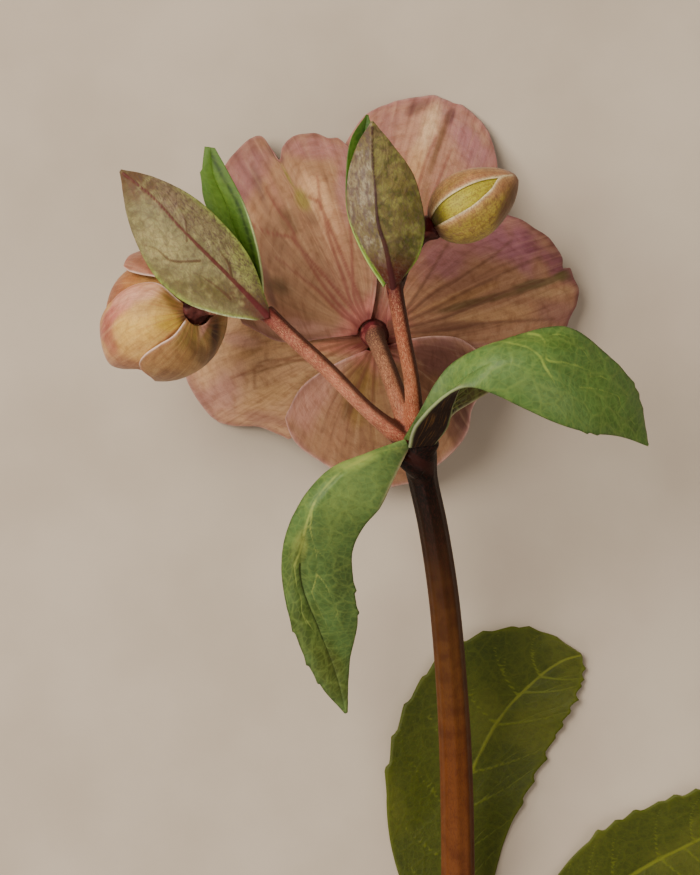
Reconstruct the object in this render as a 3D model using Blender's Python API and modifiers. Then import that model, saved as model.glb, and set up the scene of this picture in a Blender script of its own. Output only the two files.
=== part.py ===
"""A cut hellebore stem, laid on a flat surface with its open flower face down.

The stem carries one open flower, seen from behind, one half-open flower, one closed bud,
seven bracts and one three-part leaf near its cut end. Metres, +Z up, +Y along the stem
towards the flower. Heights are above the surface that the stem lies on.
"""

import math
import random

import bmesh
import bpy
from mathutils import Matrix, Vector

MM = 0.001

# The fork, where all stalks meet, seen from above. All other places are given from it, in mm.
FORK = Vector((-9.0, 29.6, 0.0))

STEM_RADIUS_TOP = 2.7
STEM_RADIUS_END = 3.3
BRACT_THICKNESS = 0.7
LEAF_THICKNESS = 0.8
TEPAL_THICKNESS = 0.6

# Blades narrower than this lose their arch, and only the outer stretch of an edge has teeth.
ARCHED_WIDTH = 12.0
TOOTHED_FROM = 0.4
TOOTHED_TO = 0.97

# The open flower is a shallow bowl. Its tepals lie in three layers, parallel to the bowl.
FLOWER = Vector((-6.5, 19.0, 27.0))
FLOWER_RADIUS = 43.0
FLOWER_DEPTH = 30.0
FLOWER_BEND = 1.35
FLOWER_LEAN = Vector((0.05, 0.18, 0.0))
TEPAL_LAYER = 1.1
CLAW_RING = 3.35
CLAW_STEP = 0.35
CLAW_SPREAD = math.radians(25.0)
RIM_WAVE = 19.0
RECEPTACLE_RADIUS = 2.7
NECTARY_COUNT = 12
STAMEN_COUNT = 42
CARPEL_COUNT = 4

# The half-open flower is a deeper cup on its own axis, and the bud is closed.
YOUNG_BASE = Vector((-38.4, 23.0, 40.2))
YOUNG_AXIS = Vector((-0.62, -0.06, -0.78)).normalized()
YOUNG_LAYER = 1.0
YOUNG_PROFILE = [(3.1, 0.0, 0), (7.1, 2.0, 0), (10.0, 5.8, 0)]
YOUNG_PROFILE += [(10.8, 10.0, 0), (9.9, 14.2, 0), (7.6, 17.6, 0)]
YOUNG_STAMEN_COUNT = 20
BUD_BASE = Vector((3.3, 37.2, 42.0))
BUD_TIP = Vector((18.5, 46.3, 42.0))
BUD_RADIUS = 6.2
BUD_STEP = 0.07

UP = Vector((0.0, 0.0, 1.0))


def clear_scene():
    for item in list(bpy.data.objects):
        bpy.data.objects.remove(item, do_unlink=True)


def new_collection(name):
    group = bpy.data.collections.new(name)
    bpy.context.scene.collection.children.link(group)
    return group


def material(name, colour, roughness):
    finish = bpy.data.materials.new(name)
    finish.use_nodes = True
    shader = finish.node_tree.nodes["Principled BSDF"]
    shader.inputs["Base Color"].default_value = (*colour, 1.0)
    shader.inputs["Roughness"].default_value = roughness
    shader.inputs["Metallic"].default_value = 0.0
    return finish


def curve_point(points, fraction):
    """Place at a fraction of the way along the smooth curve through evenly timed points."""
    place = min(max(fraction, 0.0), 1.0) * (len(points) - 1)
    step = min(int(place), len(points) - 2)
    part = place - step
    here = Vector(points[step])
    after = Vector(points[step + 1])
    before = Vector(points[step - 1]) if step else here
    beyond = Vector(points[step + 2]) if step + 2 < len(points) else after
    bend = 2 * before - 5 * here + 4 * after - beyond
    turn = 3 * here - before - 3 * after + beyond
    return 0.5 * (2 * here + (after - before) * part + bend * part**2 + turn * part**3)


def finished(name, mesh_data, group, finish):
    made = bpy.data.objects.new(name, mesh_data)
    group.objects.link(made)
    made.data.materials.append(finish)
    return made


def sheet_to_solid(name, sheet, thickness, group, finish):
    """Gives an open sheet, split alike on both faces, its thickness."""
    bmesh.ops.remove_doubles(sheet, verts=sheet.verts, dist=0.00001)
    bmesh.ops.triangulate(sheet, faces=sheet.faces, quad_method="FIXED")
    mesh_data = bpy.data.meshes.new(name)
    sheet.to_mesh(mesh_data)
    sheet.free()
    mesh_data.shade_smooth()
    made = finished(name, mesh_data, group, finish)
    wall = made.modifiers.new("thickness", "SOLIDIFY")
    wall.thickness = thickness * MM
    wall.offset = 0.0
    return made


def blade(name, left, middle, right, rows, columns, thickness, arch, tooth, group, finish):
    """A bract or leaflet between two edges and a midrib, with saw teeth on its outer half.

    left and right are as seen looking along the midrib to the tip, from above.
    """
    sheet = bmesh.new()
    bmesh.ops.create_grid(sheet, x_segments=columns, y_segments=rows, size=1.0)
    for vert in sheet.verts:
        across = vert.co.x
        along = (vert.co.y + 1.0) / 2.0
        rib = curve_point(middle, along)
        edge = curve_point(left if across < 0 else right, along)
        ahead = curve_point(middle, along + 0.03) - curve_point(middle, along - 0.03)
        wide = curve_point(right, along) - curve_point(left, along)
        upward = wide.cross(ahead).normalized()
        out = abs(across)
        swell = 4.0 * out * (1.0 - out) * min(1.0, wide.length / ARCHED_WIDTH)
        place = rib.lerp(edge, out) + upward * arch * swell
        row = round(along * rows)
        if out > 0.99 and row % 2 and TOOTHED_FROM < along < TOOTHED_TO:
            place += (edge - rib).normalized() * tooth
        place.z = max(place.z, thickness / 2.0)
        vert.co = (FORK + place) * MM
    return sheet_to_solid(name, sheet, thickness, group, finish)


def bowl_height(x, y):
    """Height of the open flower's bowl at a place seen from above, from the flower's centre."""
    reach = math.hypot(x, y) / FLOWER_RADIUS
    return FLOWER.z + FLOWER_LEAN.x * x + FLOWER_LEAN.y * y - FLOWER_DEPTH * reach**FLOWER_BEND


def bowl_point(x, y, lift):
    """A place on the bowl, raised by lift along the bowl's own upright, no lower than the surface."""
    step = 0.05
    slope_x = (bowl_height(x + step, y) - bowl_height(x - step, y)) / (2 * step)
    slope_y = (bowl_height(x, y + step) - bowl_height(x, y - step)) / (2 * step)
    upright = Vector((-slope_x, -slope_y, 1.0)).normalized()
    place = Vector((FLOWER.x + x, FLOWER.y + y, bowl_height(x, y))) + upright * lift
    place.z = max(place.z, TEPAL_THICKNESS / 2.0)
    return place


def tepal(name, heading, layer, left, rim, right, curl, group, finish):
    """One tepal of the open flower, spanned between its narrow claw, two sides and its rim."""
    heading = math.radians(heading)
    claw = []
    ring = CLAW_RING - CLAW_STEP * layer
    for turn in (CLAW_SPREAD, CLAW_SPREAD / 2, 0.0, -CLAW_SPREAD / 2, -CLAW_SPREAD):
        claw.append((ring * math.cos(heading + turn), ring * math.sin(heading + turn), 0.0))
    left = [claw[0]] + [(x, y, 0.0) for x, y in left] + [(*rim[0], 0.0)]
    right = [claw[-1]] + [(x, y, 0.0) for x, y in right] + [(*rim[-1], 0.0)]
    rim = [(x, y, 0.0) for x, y in rim]
    sheet = bmesh.new()
    bmesh.ops.create_grid(sheet, x_segments=14, y_segments=9, size=1.0)
    for vert in sheet.verts:
        across = (vert.co.x + 1.0) / 2.0
        along = (vert.co.y + 1.0) / 2.0
        sides = curve_point(left, along).lerp(curve_point(right, along), across)
        ends = curve_point(claw, across).lerp(curve_point(rim, across), along)
        near = Vector(claw[0]).lerp(Vector(claw[-1]), across)
        far = Vector(rim[0]).lerp(Vector(rim[-1]), across)
        flat = sides + ends - near.lerp(far, along)
        wave = 0.5 + 0.5 * math.sin(across * RIM_WAVE + heading * 3.0)
        lift = layer * TEPAL_LAYER + curl * wave * along**5
        vert.co = (FORK + bowl_point(flat.x, flat.y, lift)) * MM
    return sheet_to_solid(name, sheet, TEPAL_THICKNESS, group, finish)


def frame_along(axis, upward):
    """Turn whose third direction is the axis and whose first is as near to upward as can be."""
    first = (upward - axis * upward.dot(axis)).normalized()
    return Matrix((first, axis.cross(first), axis)).transposed()


def young_tepal(name, heading, layer, group, finish):
    """One tepal of the half-open flower, curved round its cup."""
    turn = frame_along(YOUNG_AXIS, UP)
    sheet = bmesh.new()
    bmesh.ops.create_grid(sheet, x_segments=8, y_segments=8, size=1.0)
    for vert in sheet.verts:
        across = vert.co.x
        along = (vert.co.y + 1.0) / 2.0
        reach = along * (1.0 - 0.22 * across**2 * along)
        out = curve_point(YOUNG_PROFILE, reach)
        ahead = curve_point(YOUNG_PROFILE, reach + 0.02) - curve_point(YOUNG_PROFILE, reach - 0.02)
        ahead.normalize()
        out += Vector((ahead.y, -ahead.x, 0.0)) * layer * YOUNG_LAYER
        spread = 30.0 + 23.0 * math.sin(math.pi * 0.72 * along) ** 0.8
        angle = math.radians(heading + across * spread)
        place = Vector((out.x * math.cos(angle), out.x * math.sin(angle), out.y))
        vert.co = (FORK + YOUNG_BASE + turn @ place) * MM
    return sheet_to_solid(name, sheet, TEPAL_THICKNESS, group, finish)


def stalk(points, radii, steps, group, roundness=2):
    """A round stalk along a smooth route. The radius runs smoothly through the given ones."""
    curve = bpy.data.curves.new("stalk", "CURVE")
    curve.dimensions = "3D"
    curve.bevel_depth = MM
    curve.bevel_resolution = roundness
    curve.use_fill_caps = True
    route = curve.splines.new("POLY")
    route.points.add(steps)
    for index in range(steps + 1):
        place = (FORK + curve_point(points, index / steps)) * MM
        route.points[index].co = (*place, 1.0)
        route.points[index].radius = curve_point([(r, 0, 0) for r in radii], index / steps).x
    drawn = bpy.data.objects.new("stalk", curve)
    group.objects.link(drawn)
    bpy.context.view_layer.update()
    graph = bpy.context.evaluated_depsgraph_get()
    mesh_data = bpy.data.meshes.new_from_object(drawn.evaluated_get(graph))
    bpy.data.objects.remove(drawn, do_unlink=True)
    shape = bmesh.new()
    shape.from_mesh(mesh_data)
    bmesh.ops.remove_doubles(shape, verts=shape.verts, dist=0.00001)
    bmesh.ops.recalc_face_normals(shape, faces=shape.faces)
    return loose_part(shape, group)


def loose_part(shape, group):
    """Puts a bmesh in the collection of pieces that are still to be joined."""
    mesh_data = bpy.data.meshes.new("part")
    shape.to_mesh(mesh_data)
    shape.free()
    made = bpy.data.objects.new("part", mesh_data)
    group.objects.link(made)
    return made


def turned(rings, sides, place, turn, group, hoop=False):
    """A turned shape from (radius, height) rings, capped at both ends or closed into a hoop."""
    shape = bmesh.new()
    loops = []
    for radius, height in rings:
        ring = bmesh.ops.create_circle(shape, segments=sides, radius=radius)["verts"]
        bmesh.ops.translate(shape, verts=ring, vec=(0.0, 0.0, height))
        loops.append([edge for edge in shape.edges if edge.verts[0] in ring and edge.verts[1] in ring])
    for lower, upper in zip(loops, loops[1:]):
        bmesh.ops.bridge_loops(shape, edges=lower + upper)
    if hoop:
        bmesh.ops.bridge_loops(shape, edges=loops[-1] + loops[0])
    else:
        bmesh.ops.holes_fill(shape, edges=loops[0] + loops[-1], sides=0)
    bmesh.ops.recalc_face_normals(shape, faces=shape.faces)
    where = Matrix.Translation((FORK + place) * MM) @ turn.to_4x4() @ Matrix.Scale(MM, 4)
    bmesh.ops.transform(shape, matrix=where, verts=shape.verts)
    return loose_part(shape, group)


def joined(name, pieces, group, finish):
    """One closed body from overlapping pieces."""
    first = pieces[0]
    first.name = name
    others = new_collection("joining")
    for piece in pieces[1:]:
        for holder in list(piece.users_collection):
            holder.objects.unlink(piece)
        others.objects.link(piece)
    join = first.modifiers.new("join", "BOOLEAN")
    join.operation = "UNION"
    join.operand_type = "COLLECTION"
    join.collection = others
    join.solver = "EXACT"
    bpy.context.view_layer.update()
    graph = bpy.context.evaluated_depsgraph_get()
    mesh_data = bpy.data.meshes.new_from_object(first.evaluated_get(graph))
    mesh_data.name = name
    for piece in list(others.objects):
        bpy.data.objects.remove(piece, do_unlink=True)
    bpy.data.collections.remove(others)
    bpy.data.objects.remove(first, do_unlink=True)
    mesh_data.shade_smooth()
    mesh_data.materials.clear()
    return finished(name, mesh_data, group, finish)


def build_stem(group, finish):
    """The cut stem, its fork and all the stalks that grew from it as one piece."""
    main = [(0.9, 0.6, 45.0), (1.2, -2.0, 44.0), (2.0, -7.0, 41.0), (4.0, -16.0, 36.0)]
    main += [(6.0, -28.5, 30.0), (7.5, -43.5, 23.5), (8.5, -58.5, 17.5), (9.0, -74.0, 12.4)]
    main += [(9.2, -90.0, 8.4), (9.2, -106.0, 5.3), (9.0, -124.0, 3.35)]
    thick = [2.2, 3.2, STEM_RADIUS_TOP, STEM_RADIUS_TOP, 2.8, 2.9, 3.05, 3.15, 3.2, 3.3, STEM_RADIUS_END]
    left = [(-0.5, -0.5, 45.3), (-7.5, 5.0, 47.5), (-14.5, 12.0, 48.5)]
    left += [(-21.0, 18.0, 48.5), (-25.6, 22.4, 48.0)]
    young_stalk = [(-24.6, 21.6, 48.0), (-28.8, 22.8, 46.4), (-33.4, 23.0, 43.9), (-37.8, 23.1, 40.9)]
    right = [(0.6, -0.6, 45.3), (0.0, 9.5, 48.0), (-1.5, 17.5, 49.0)]
    right += [(-2.8, 24.5, 49.4), (-3.2, 27.4, 49.0)]
    bud_stalk = [(-3.1, 25.6, 49.2), (-1.4, 30.0, 46.0), (0.6, 34.0, 43.4), (2.8, 36.9, 42.0)]
    middle = [(0.2, -0.8, 45.0), (-1.8, 5.5, 44.5), (-4.0, 12.0, 40.5)]
    middle += [(-5.8, 16.8, 34.5), (-6.5, 18.9, 29.0)]
    bract_neck = [(1.0, -1.6, 44.4), (2.4, -1.0, 45.3), (3.8, 0.2, 46.2)]
    petiole = [(9.2, -119.5, 3.9), (12.6, -114.5, 3.2), (15.2, -109.6, 2.4), (16.2, -106.6, 2.0)]
    leaf_joint = Vector((16.4, -106.2, 1.9))
    face_down = frame_along(Vector((FLOWER_LEAN.x, FLOWER_LEAN.y, -1.0)).normalized(), Vector((0, 1, 0)))
    young_turn = frame_along(YOUNG_AXIS, UP)
    bud_turn = frame_along((BUD_TIP - BUD_BASE).normalized(), UP)
    receptacle = [(1.7, -3.0), (RECEPTACLE_RADIUS, -0.4), (RECEPTACLE_RADIUS, 4.8), (2.3, 5.6)]
    young_receptacle = [(1.3, -2.2), (2.8, -1.1), (2.3, 0.5), (2.0, 2.6), (1.6, 3.2)]
    bud_receptacle = [(1.4, -1.0), (2.3, -0.2)]
    leaf_knot = [(1.2, -0.8), (1.7, -0.2), (1.7, 0.6), (1.1, 1.2)]
    pieces = [
        stalk(main, thick, 26, group, roundness=3),
        stalk(left, [2.1, 1.5, 1.5, 1.5, 1.6], 9, group),
        stalk(young_stalk, [1.4, 1.2, 1.2, 1.4], 6, group),
        stalk(right, [2.0, 1.5, 1.45, 1.5, 1.6], 9, group),
        stalk(bud_stalk, [1.4, 1.1, 1.2, 1.6], 6, group),
        stalk(middle, [2.2, 1.8, 1.7, 1.7, 2.0], 9, group),
        stalk(petiole, [1.7, 1.5, 1.5, 1.6], 6, group),
        stalk(bract_neck, [2.7, 2.3, 1.5], 3, group),
        turned(receptacle, 14, FLOWER, face_down, group),
        turned(young_receptacle, 10, YOUNG_BASE, young_turn, group),
        turned(bud_receptacle, 10, BUD_BASE, bud_turn, group),
        turned(leaf_knot, 10, leaf_joint, Matrix.Identity(3), group),
    ]
    joined("stem_and_stalks", pieces, group, finish)


def build_open_flower(group, outer, inner):
    tepal(
        "tepal_upper_left", 138, 1,
        [(-9.0, -0.5), (-13.5, -1.0), (-17.5, -0.5)],
        [(-23.0, 2.5), (-26.5, 10.0), (-29.2, 19.0), (-29.8, 26.3), (-27.7, 33.3), (-21.7, 37.8),
         (-17.3, 33.4), (-14.6, 36.8), (-9.5, 37.5), (-5.0, 35.0)],
        [(0.5, 9.0), (0.0, 16.0), (-1.5, 24.0)],
        curl=0.8, group=group, finish=outer,
    )
    tepal(
        "tepal_top", 66, -1,
        [(-3.0, 9.0), (-5.5, 17.0), (-7.0, 26.0)],
        [(-5.5, 36.5), (-1.5, 42.3), (4.0, 45.4), (10.8, 46.6), (17.1, 45.0), (22.0, 39.2),
         (23.8, 31.0)],
        [(7.0, 6.5), (14.0, 12.5), (20.0, 20.5)],
        curl=-0.5, group=group, finish=inner,
    )
    tepal(
        "tepal_right", -6, 0,
        [(2.8, 6.0), (5.5, 12.5), (13.0, 19.5)],
        [(24.0, 22.5), (29.5, 20.4), (34.0, 16.0), (36.0, 13.2), (38.3, 9.0), (37.8, 4.8),
         (35.5, 0.5)],
        [(9.0, -3.2), (18.0, -4.6), (27.5, -3.6)],
        curl=0.0, group=group, finish=outer,
    )
    tepal(
        "tepal_bottom", 282, 1,
        [(6.0, -0.6), (10.5, 0.0), (15.0, -0.4)],
        [(19.0, -3.0), (20.5, -8.0), (18.3, -13.0), (18.3, -17.0), (14.0, -22.2), (8.0, -26.4),
         (2.0, -27.4), (-5.0, -26.2), (-11.8, -23.4), (-15.6, -20.0), (-17.0, -15.0)],
        [(-5.5, -4.2), (-10.0, -6.2), (-14.2, -9.6)],
        curl=0.9, group=group, finish=outer,
    )
    tepal(
        "tepal_left", 210, -1,
        [(-5.0, -7.0), (-7.5, -12.0), (-11.0, -16.5)],
        [(-16.0, -19.4), (-21.3, -17.6), (-27.0, -16.7), (-31.7, -14.8), (-35.5, -9.2), (-36.0, -4.0),
         (-34.0, 0.8), (-30.0, 4.5)],
        [(-8.5, 4.0), (-15.5, 7.0), (-23.5, 7.2)],
        curl=-0.5, group=group, finish=inner,
    )


def seeds_of_bloom(count, inner, outer, spin):
    """Places spread over a ring by the golden angle, as (radius, angle) pairs."""
    golden = math.pi * (3.0 - math.sqrt(5.0))
    for index in range(count):
        share = (index + 0.5) / count
        yield math.sqrt(inner**2 + share * (outer**2 - inner**2)), index * golden + spin


def filament(base, tip, radius, knob, group):
    """A thin three-sided thread with a small pod on its end, as a stamen has."""
    line = tip - base
    turn = frame_along(line.normalized(), Vector((0.3, 0.5, 0.8)))
    top = line.length
    rings = [(radius, 0.0), (radius * 0.8, top), (knob, top + 0.8), (radius, top + 2.0)]
    return turned(rings, 3, base, turn, group)


def outward_at(angle):
    return Vector((math.cos(angle), math.sin(angle), 0.0))


def build_flower_centre(group, yellow, cream, green):
    """Nectaries, stamens and carpels, hanging inside the bowl of the open flower."""
    turn = frame_along(Vector((FLOWER_LEAN.x, FLOWER_LEAN.y, -1.0)).normalized(), Vector((0, 1, 0)))
    inner = RECEPTACLE_RADIUS + 0.25
    collar = [(inner, 3.7), (4.1, 3.5), (4.2, 4.6), (inner, 4.7)]
    pieces = [turned(collar, 18, FLOWER, turn, group, hoop=True)]
    for index in range(NECTARY_COUNT):
        outward = outward_at(index * math.tau / NECTARY_COUNT)
        base = FLOWER + turn @ (outward * 3.7 + UP * 4.2)
        lean = (turn @ (outward * 0.75 + UP * 0.66)).normalized()
        horn = frame_along(lean, Vector((0.2, 0.9, 0.3)))
        pieces.append(turned([(0.35, 0.0), (0.85, 2.6), (0.6, 3.4)], 5, base, horn, group))
    joined("nectaries", pieces, group, yellow)

    disc = [(2.2, 5.9), (2.7, 6.1), (2.7, 6.9), (2.2, 7.2)]
    pieces = [turned(disc, 16, FLOWER, turn, group)]
    draw = random.Random(7)
    for radius, angle in seeds_of_bloom(STAMEN_COUNT, 1.75, 2.5, 0.0):
        splay = 0.25 + 0.62 * draw.random()
        length = 6.0 + 2.6 * draw.random()
        outward = outward_at(angle)
        base = FLOWER + turn @ (outward * radius + UP * 6.6)
        tip = base + turn @ ((outward * splay + UP).normalized() * length)
        pieces.append(filament(base, tip, 0.24, 0.5, group))
    joined("stamens", pieces, group, cream)

    pieces = [turned([(1.0, 7.5), (1.3, 7.7), (1.2, 8.6)], 10, FLOWER, turn, group)]
    pod = [(0.4, 0.0), (0.66, 1.2), (0.6, 3.4), (0.32, 5.2), (0.26, 8.4), (0.36, 9.0)]
    for index in range(CARPEL_COUNT):
        outward = outward_at(index * math.tau / CARPEL_COUNT + 0.4)
        base = FLOWER + turn @ (outward * 0.62 + UP * 8.1)
        lean = (turn @ (outward * 0.05 + UP)).normalized()
        pieces.append(turned(pod, 6, base, frame_along(lean, Vector((0.2, 0.9, 0.3))), group))
    joined("carpels", pieces, group, green)


def build_young_flower(group, outer, inner, cream):
    for name, heading, layer in (
        ("young_tepal_lower", -90.0, 1),
        ("young_tepal_front", -18.0, 0),
        ("young_tepal_upper", 52.0, -1),
        ("young_tepal_back", 122.0, 1),
        ("young_tepal_under", -164.0, -1),
    ):
        young_tepal(name, heading, layer, group, outer if layer > 0 else inner)
    turn = frame_along(YOUNG_AXIS, UP)
    disc = [(1.2, 3.5), (1.9, 3.7), (1.9, 4.4), (1.2, 4.8)]
    pieces = [turned(disc, 12, YOUNG_BASE, turn, group)]
    draw = random.Random(11)
    for radius, angle in seeds_of_bloom(YOUNG_STAMEN_COUNT, 0.0, 1.5, 0.5):
        outward = outward_at(angle)
        base = YOUNG_BASE + turn @ (outward * radius + UP * 4.2)
        aim = turn @ (outward * (0.1 + 0.28 * radius) + UP).normalized()
        length = 4.8 + 1.6 * draw.random()
        pieces.append(filament(base, base + aim * length, 0.26, 0.5, group))
    joined("young_stamens", pieces, group, cream)


def build_bud(group, finish):
    """The closed bud: one ovoid whose overlapping tepal edges stand out as low steps."""
    axis = BUD_TIP - BUD_BASE
    turn = frame_along(axis.normalized(), UP)
    shape = bmesh.new()
    bmesh.ops.create_uvsphere(shape, u_segments=20, v_segments=14, radius=1.0)
    for vert in shape.verts:
        along = (vert.co.z + 1.0) / 2.0
        angle = math.atan2(vert.co.y, vert.co.x)
        width = math.sin(math.pi * along**0.84) ** 0.64 * (1.0 - 0.12 * along)
        turns = (angle / math.tau * 3.0 + 0.25 * along) % 1.0
        step = 1.0 + BUD_STEP * (turns - 0.5) * math.sin(math.pi * along)
        rim = math.hypot(vert.co.x, vert.co.y)
        round_out = BUD_RADIUS * width * step / rim if rim > 1e-6 else 0.0
        place = Vector((vert.co.x * round_out, vert.co.y * round_out, 0.3 + along * (axis.length - 0.3)))
        vert.co = (FORK + BUD_BASE + turn @ place) * MM
    bmesh.ops.triangulate(shape, faces=shape.faces)
    mesh_data = bpy.data.meshes.new("bud")
    shape.to_mesh(mesh_data)
    shape.free()
    mesh_data.shade_smooth()
    finished("bud", mesh_data, group, finish)


def build_bracts(group, green, olive):
    blade(
        "bract_lower_right",
        [(0.3, 0.8, 48.7), (2.0, 5.6, 50.3), (4.5, 10.5, 51.6), (8.0, 14.0, 53.5), (15.0, 17.0, 55.0),
         (26.0, 19.5, 53.0), (33.5, 15.0, 49.0), (39.0, 9.0, 44.5), (41.6, -0.6, 40.0)],
        [(4.9, 0.0, 48.0), (6.1, 2.8, 49.8), (7.0, 6.5, 52.5), (9.0, 10.5, 55.5), (15.0, 13.5, 58.5),
         (23.0, 12.5, 58.0), (30.5, 8.5, 53.0), (36.6, 4.0, 47.0), (41.7, -0.8, 40.0)],
        [(0.1, -0.3, 49.9), (1.6, 4.2, 52.7), (4.5, 7.0, 55.4), (8.4, 9.0, 58.0), (13.5, 8.0, 58.0),
         (23.5, 3.5, 54.0), (30.0, 1.5, 50.0), (36.5, 0.7, 44.5), (41.6, -1.0, 40.0)],
        rows=24, columns=8, thickness=BRACT_THICKNESS, arch=0.5, tooth=0.8,
        group=group, finish=green,
    )
    blade(
        "bract_lower_left",
        [(-2.3, -2.6, 47.4), (-4.0, -7.0, 48.6), (-5.8, -11.5, 49.0), (-8.5, -15.0, 48.0),
         (-10.5, -19.5, 45.0), (-10.2, -26.0, 40.0), (-9.6, -32.5, 36.0), (-11.0, -39.5, 32.5),
         (-11.4, -49.0, 27.0)],
        [(-2.1, -1.6, 48.2), (-7.0, -4.3, 51.2), (-13.0, -7.5, 53.3), (-17.0, -12.5, 52.3),
         (-18.6, -19.0, 48.0), (-18.2, -27.0, 42.5), (-16.6, -35.0, 37.0), (-14.5, -42.5, 31.5),
         (-11.6, -49.2, 27.0)],
        [(-2.5, -0.6, 48.2), (-8.0, -3.0, 49.5), (-14.5, -5.5, 51.0), (-19.5, -11.0, 50.5),
         (-22.5, -19.0, 46.5), (-22.0, -28.0, 41.0), (-19.0, -37.0, 36.0), (-16.0, -44.0, 31.0),
         (-11.8, -49.1, 27.0)],
        rows=24, columns=8, thickness=BRACT_THICKNESS, arch=0.5, tooth=0.6,
        group=group, finish=green,
    )
    blade(
        "bract_left_front",
        [(-26.6, 21.6, 50.1), (-32.5, 21.6, 50.0), (-39.5, 24.0, 50.0), (-45.0, 29.0, 50.5),
         (-49.0, 37.5, 50.5), (-50.6, 46.4, 50.0)],
        [(-25.9, 22.5, 50.3), (-30.5, 27.0, 51.6), (-35.0, 31.5, 52.8), (-40.0, 36.5, 53.2),
         (-45.0, 42.0, 52.5), (-50.7, 46.6, 50.2)],
        [(-25.4, 23.4, 50.1), (-28.0, 31.0, 50.5), (-32.0, 36.5, 51.0), (-38.0, 42.0, 51.0),
         (-45.0, 45.5, 50.5), (-50.6, 46.8, 50.0)],
        rows=12, columns=6, thickness=BRACT_THICKNESS, arch=0.5, tooth=0.0,
        group=group, finish=olive,
    )
    blade(
        "bract_left_back",
        [(-25.1, 24.0, 47.0), (-29.0, 30.5, 45.2), (-33.5, 36.0, 43.2), (-36.5, 42.0, 42.2),
         (-36.9, 47.0, 41.2), (-36.4, 51.7, 40.2)],
        [(-24.1, 23.7, 47.2), (-26.6, 29.8, 44.4), (-30.2, 35.5, 42.6), (-32.6, 41.5, 41.6),
         (-34.8, 46.5, 41.0), (-35.5, 51.6, 40.5)],
        [(-23.3, 23.1, 47.3), (-24.9, 28.8, 45.6), (-26.9, 34.2, 44.6), (-29.4, 40.0, 43.2),
         (-32.4, 45.5, 42.0), (-34.6, 51.0, 40.8)],
        rows=10, columns=6, thickness=BRACT_THICKNESS, arch=0.3, tooth=0.0,
        group=group, finish=green,
    )
    blade(
        "bract_right_front",
        [(-4.3, 27.4, 51.1), (-8.0, 32.5, 51.2), (-11.0, 39.0, 51.5), (-11.5, 45.5, 51.5),
         (-10.0, 51.0, 51.0), (-7.1, 55.0, 50.2)],
        [(-3.2, 27.2, 51.3), (-4.5, 32.5, 53.2), (-6.0, 37.5, 54.0), (-6.5, 43.5, 54.0),
         (-7.0, 49.0, 53.0), (-7.0, 55.2, 50.4)],
        [(-2.1, 27.4, 51.1), (1.0, 32.0, 51.2), (2.0, 37.5, 51.5), (0.2, 45.5, 51.5),
         (-3.5, 51.0, 51.0), (-6.8, 55.0, 50.2)],
        rows=12, columns=6, thickness=BRACT_THICKNESS, arch=0.5, tooth=0.0,
        group=group, finish=olive,
    )
    blade(
        "bract_right_back",
        [(-5.3, 27.1, 47.4), (-9.2, 32.5, 45.6), (-11.7, 39.5, 45.0), (-11.9, 47.5, 44.5),
         (-10.6, 53.0, 44.0), (-8.0, 57.0, 43.0)],
        [(-4.6, 27.3, 47.3), (-6.4, 33.0, 44.6), (-7.5, 39.5, 43.6), (-8.5, 46.5, 43.2),
         (-8.5, 52.5, 43.2), (-7.8, 57.1, 43.0)],
        [(-3.8, 27.7, 47.0), (-3.6, 33.5, 45.4), (-3.7, 40.0, 45.0), (-4.6, 47.0, 44.5),
         (-6.0, 52.5, 44.0), (-7.7, 57.0, 43.0)],
        rows=10, columns=6, thickness=BRACT_THICKNESS, arch=0.3, tooth=0.0,
        group=group, finish=green,
    )
    blade(
        "bract_small",
        [(2.9, 1.7, 44.7), (5.0, 7.0, 46.4), (8.0, 11.0, 48.4), (11.5, 13.2, 48.8),
         (16.0, 10.7, 47.7)],
        [(3.7, 1.3, 44.1), (6.2, 6.0, 45.4), (9.0, 8.7, 47.2), (12.2, 10.6, 48.0),
         (16.2, 10.5, 47.7)],
        [(4.3, 0.7, 43.6), (7.1, 4.4, 44.8), (10.0, 6.4, 46.2), (13.2, 8.3, 47.0),
         (16.1, 10.3, 47.6)],
        rows=8, columns=4, thickness=BRACT_THICKNESS, arch=0.3, tooth=0.3,
        group=group, finish=green,
    )


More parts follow.
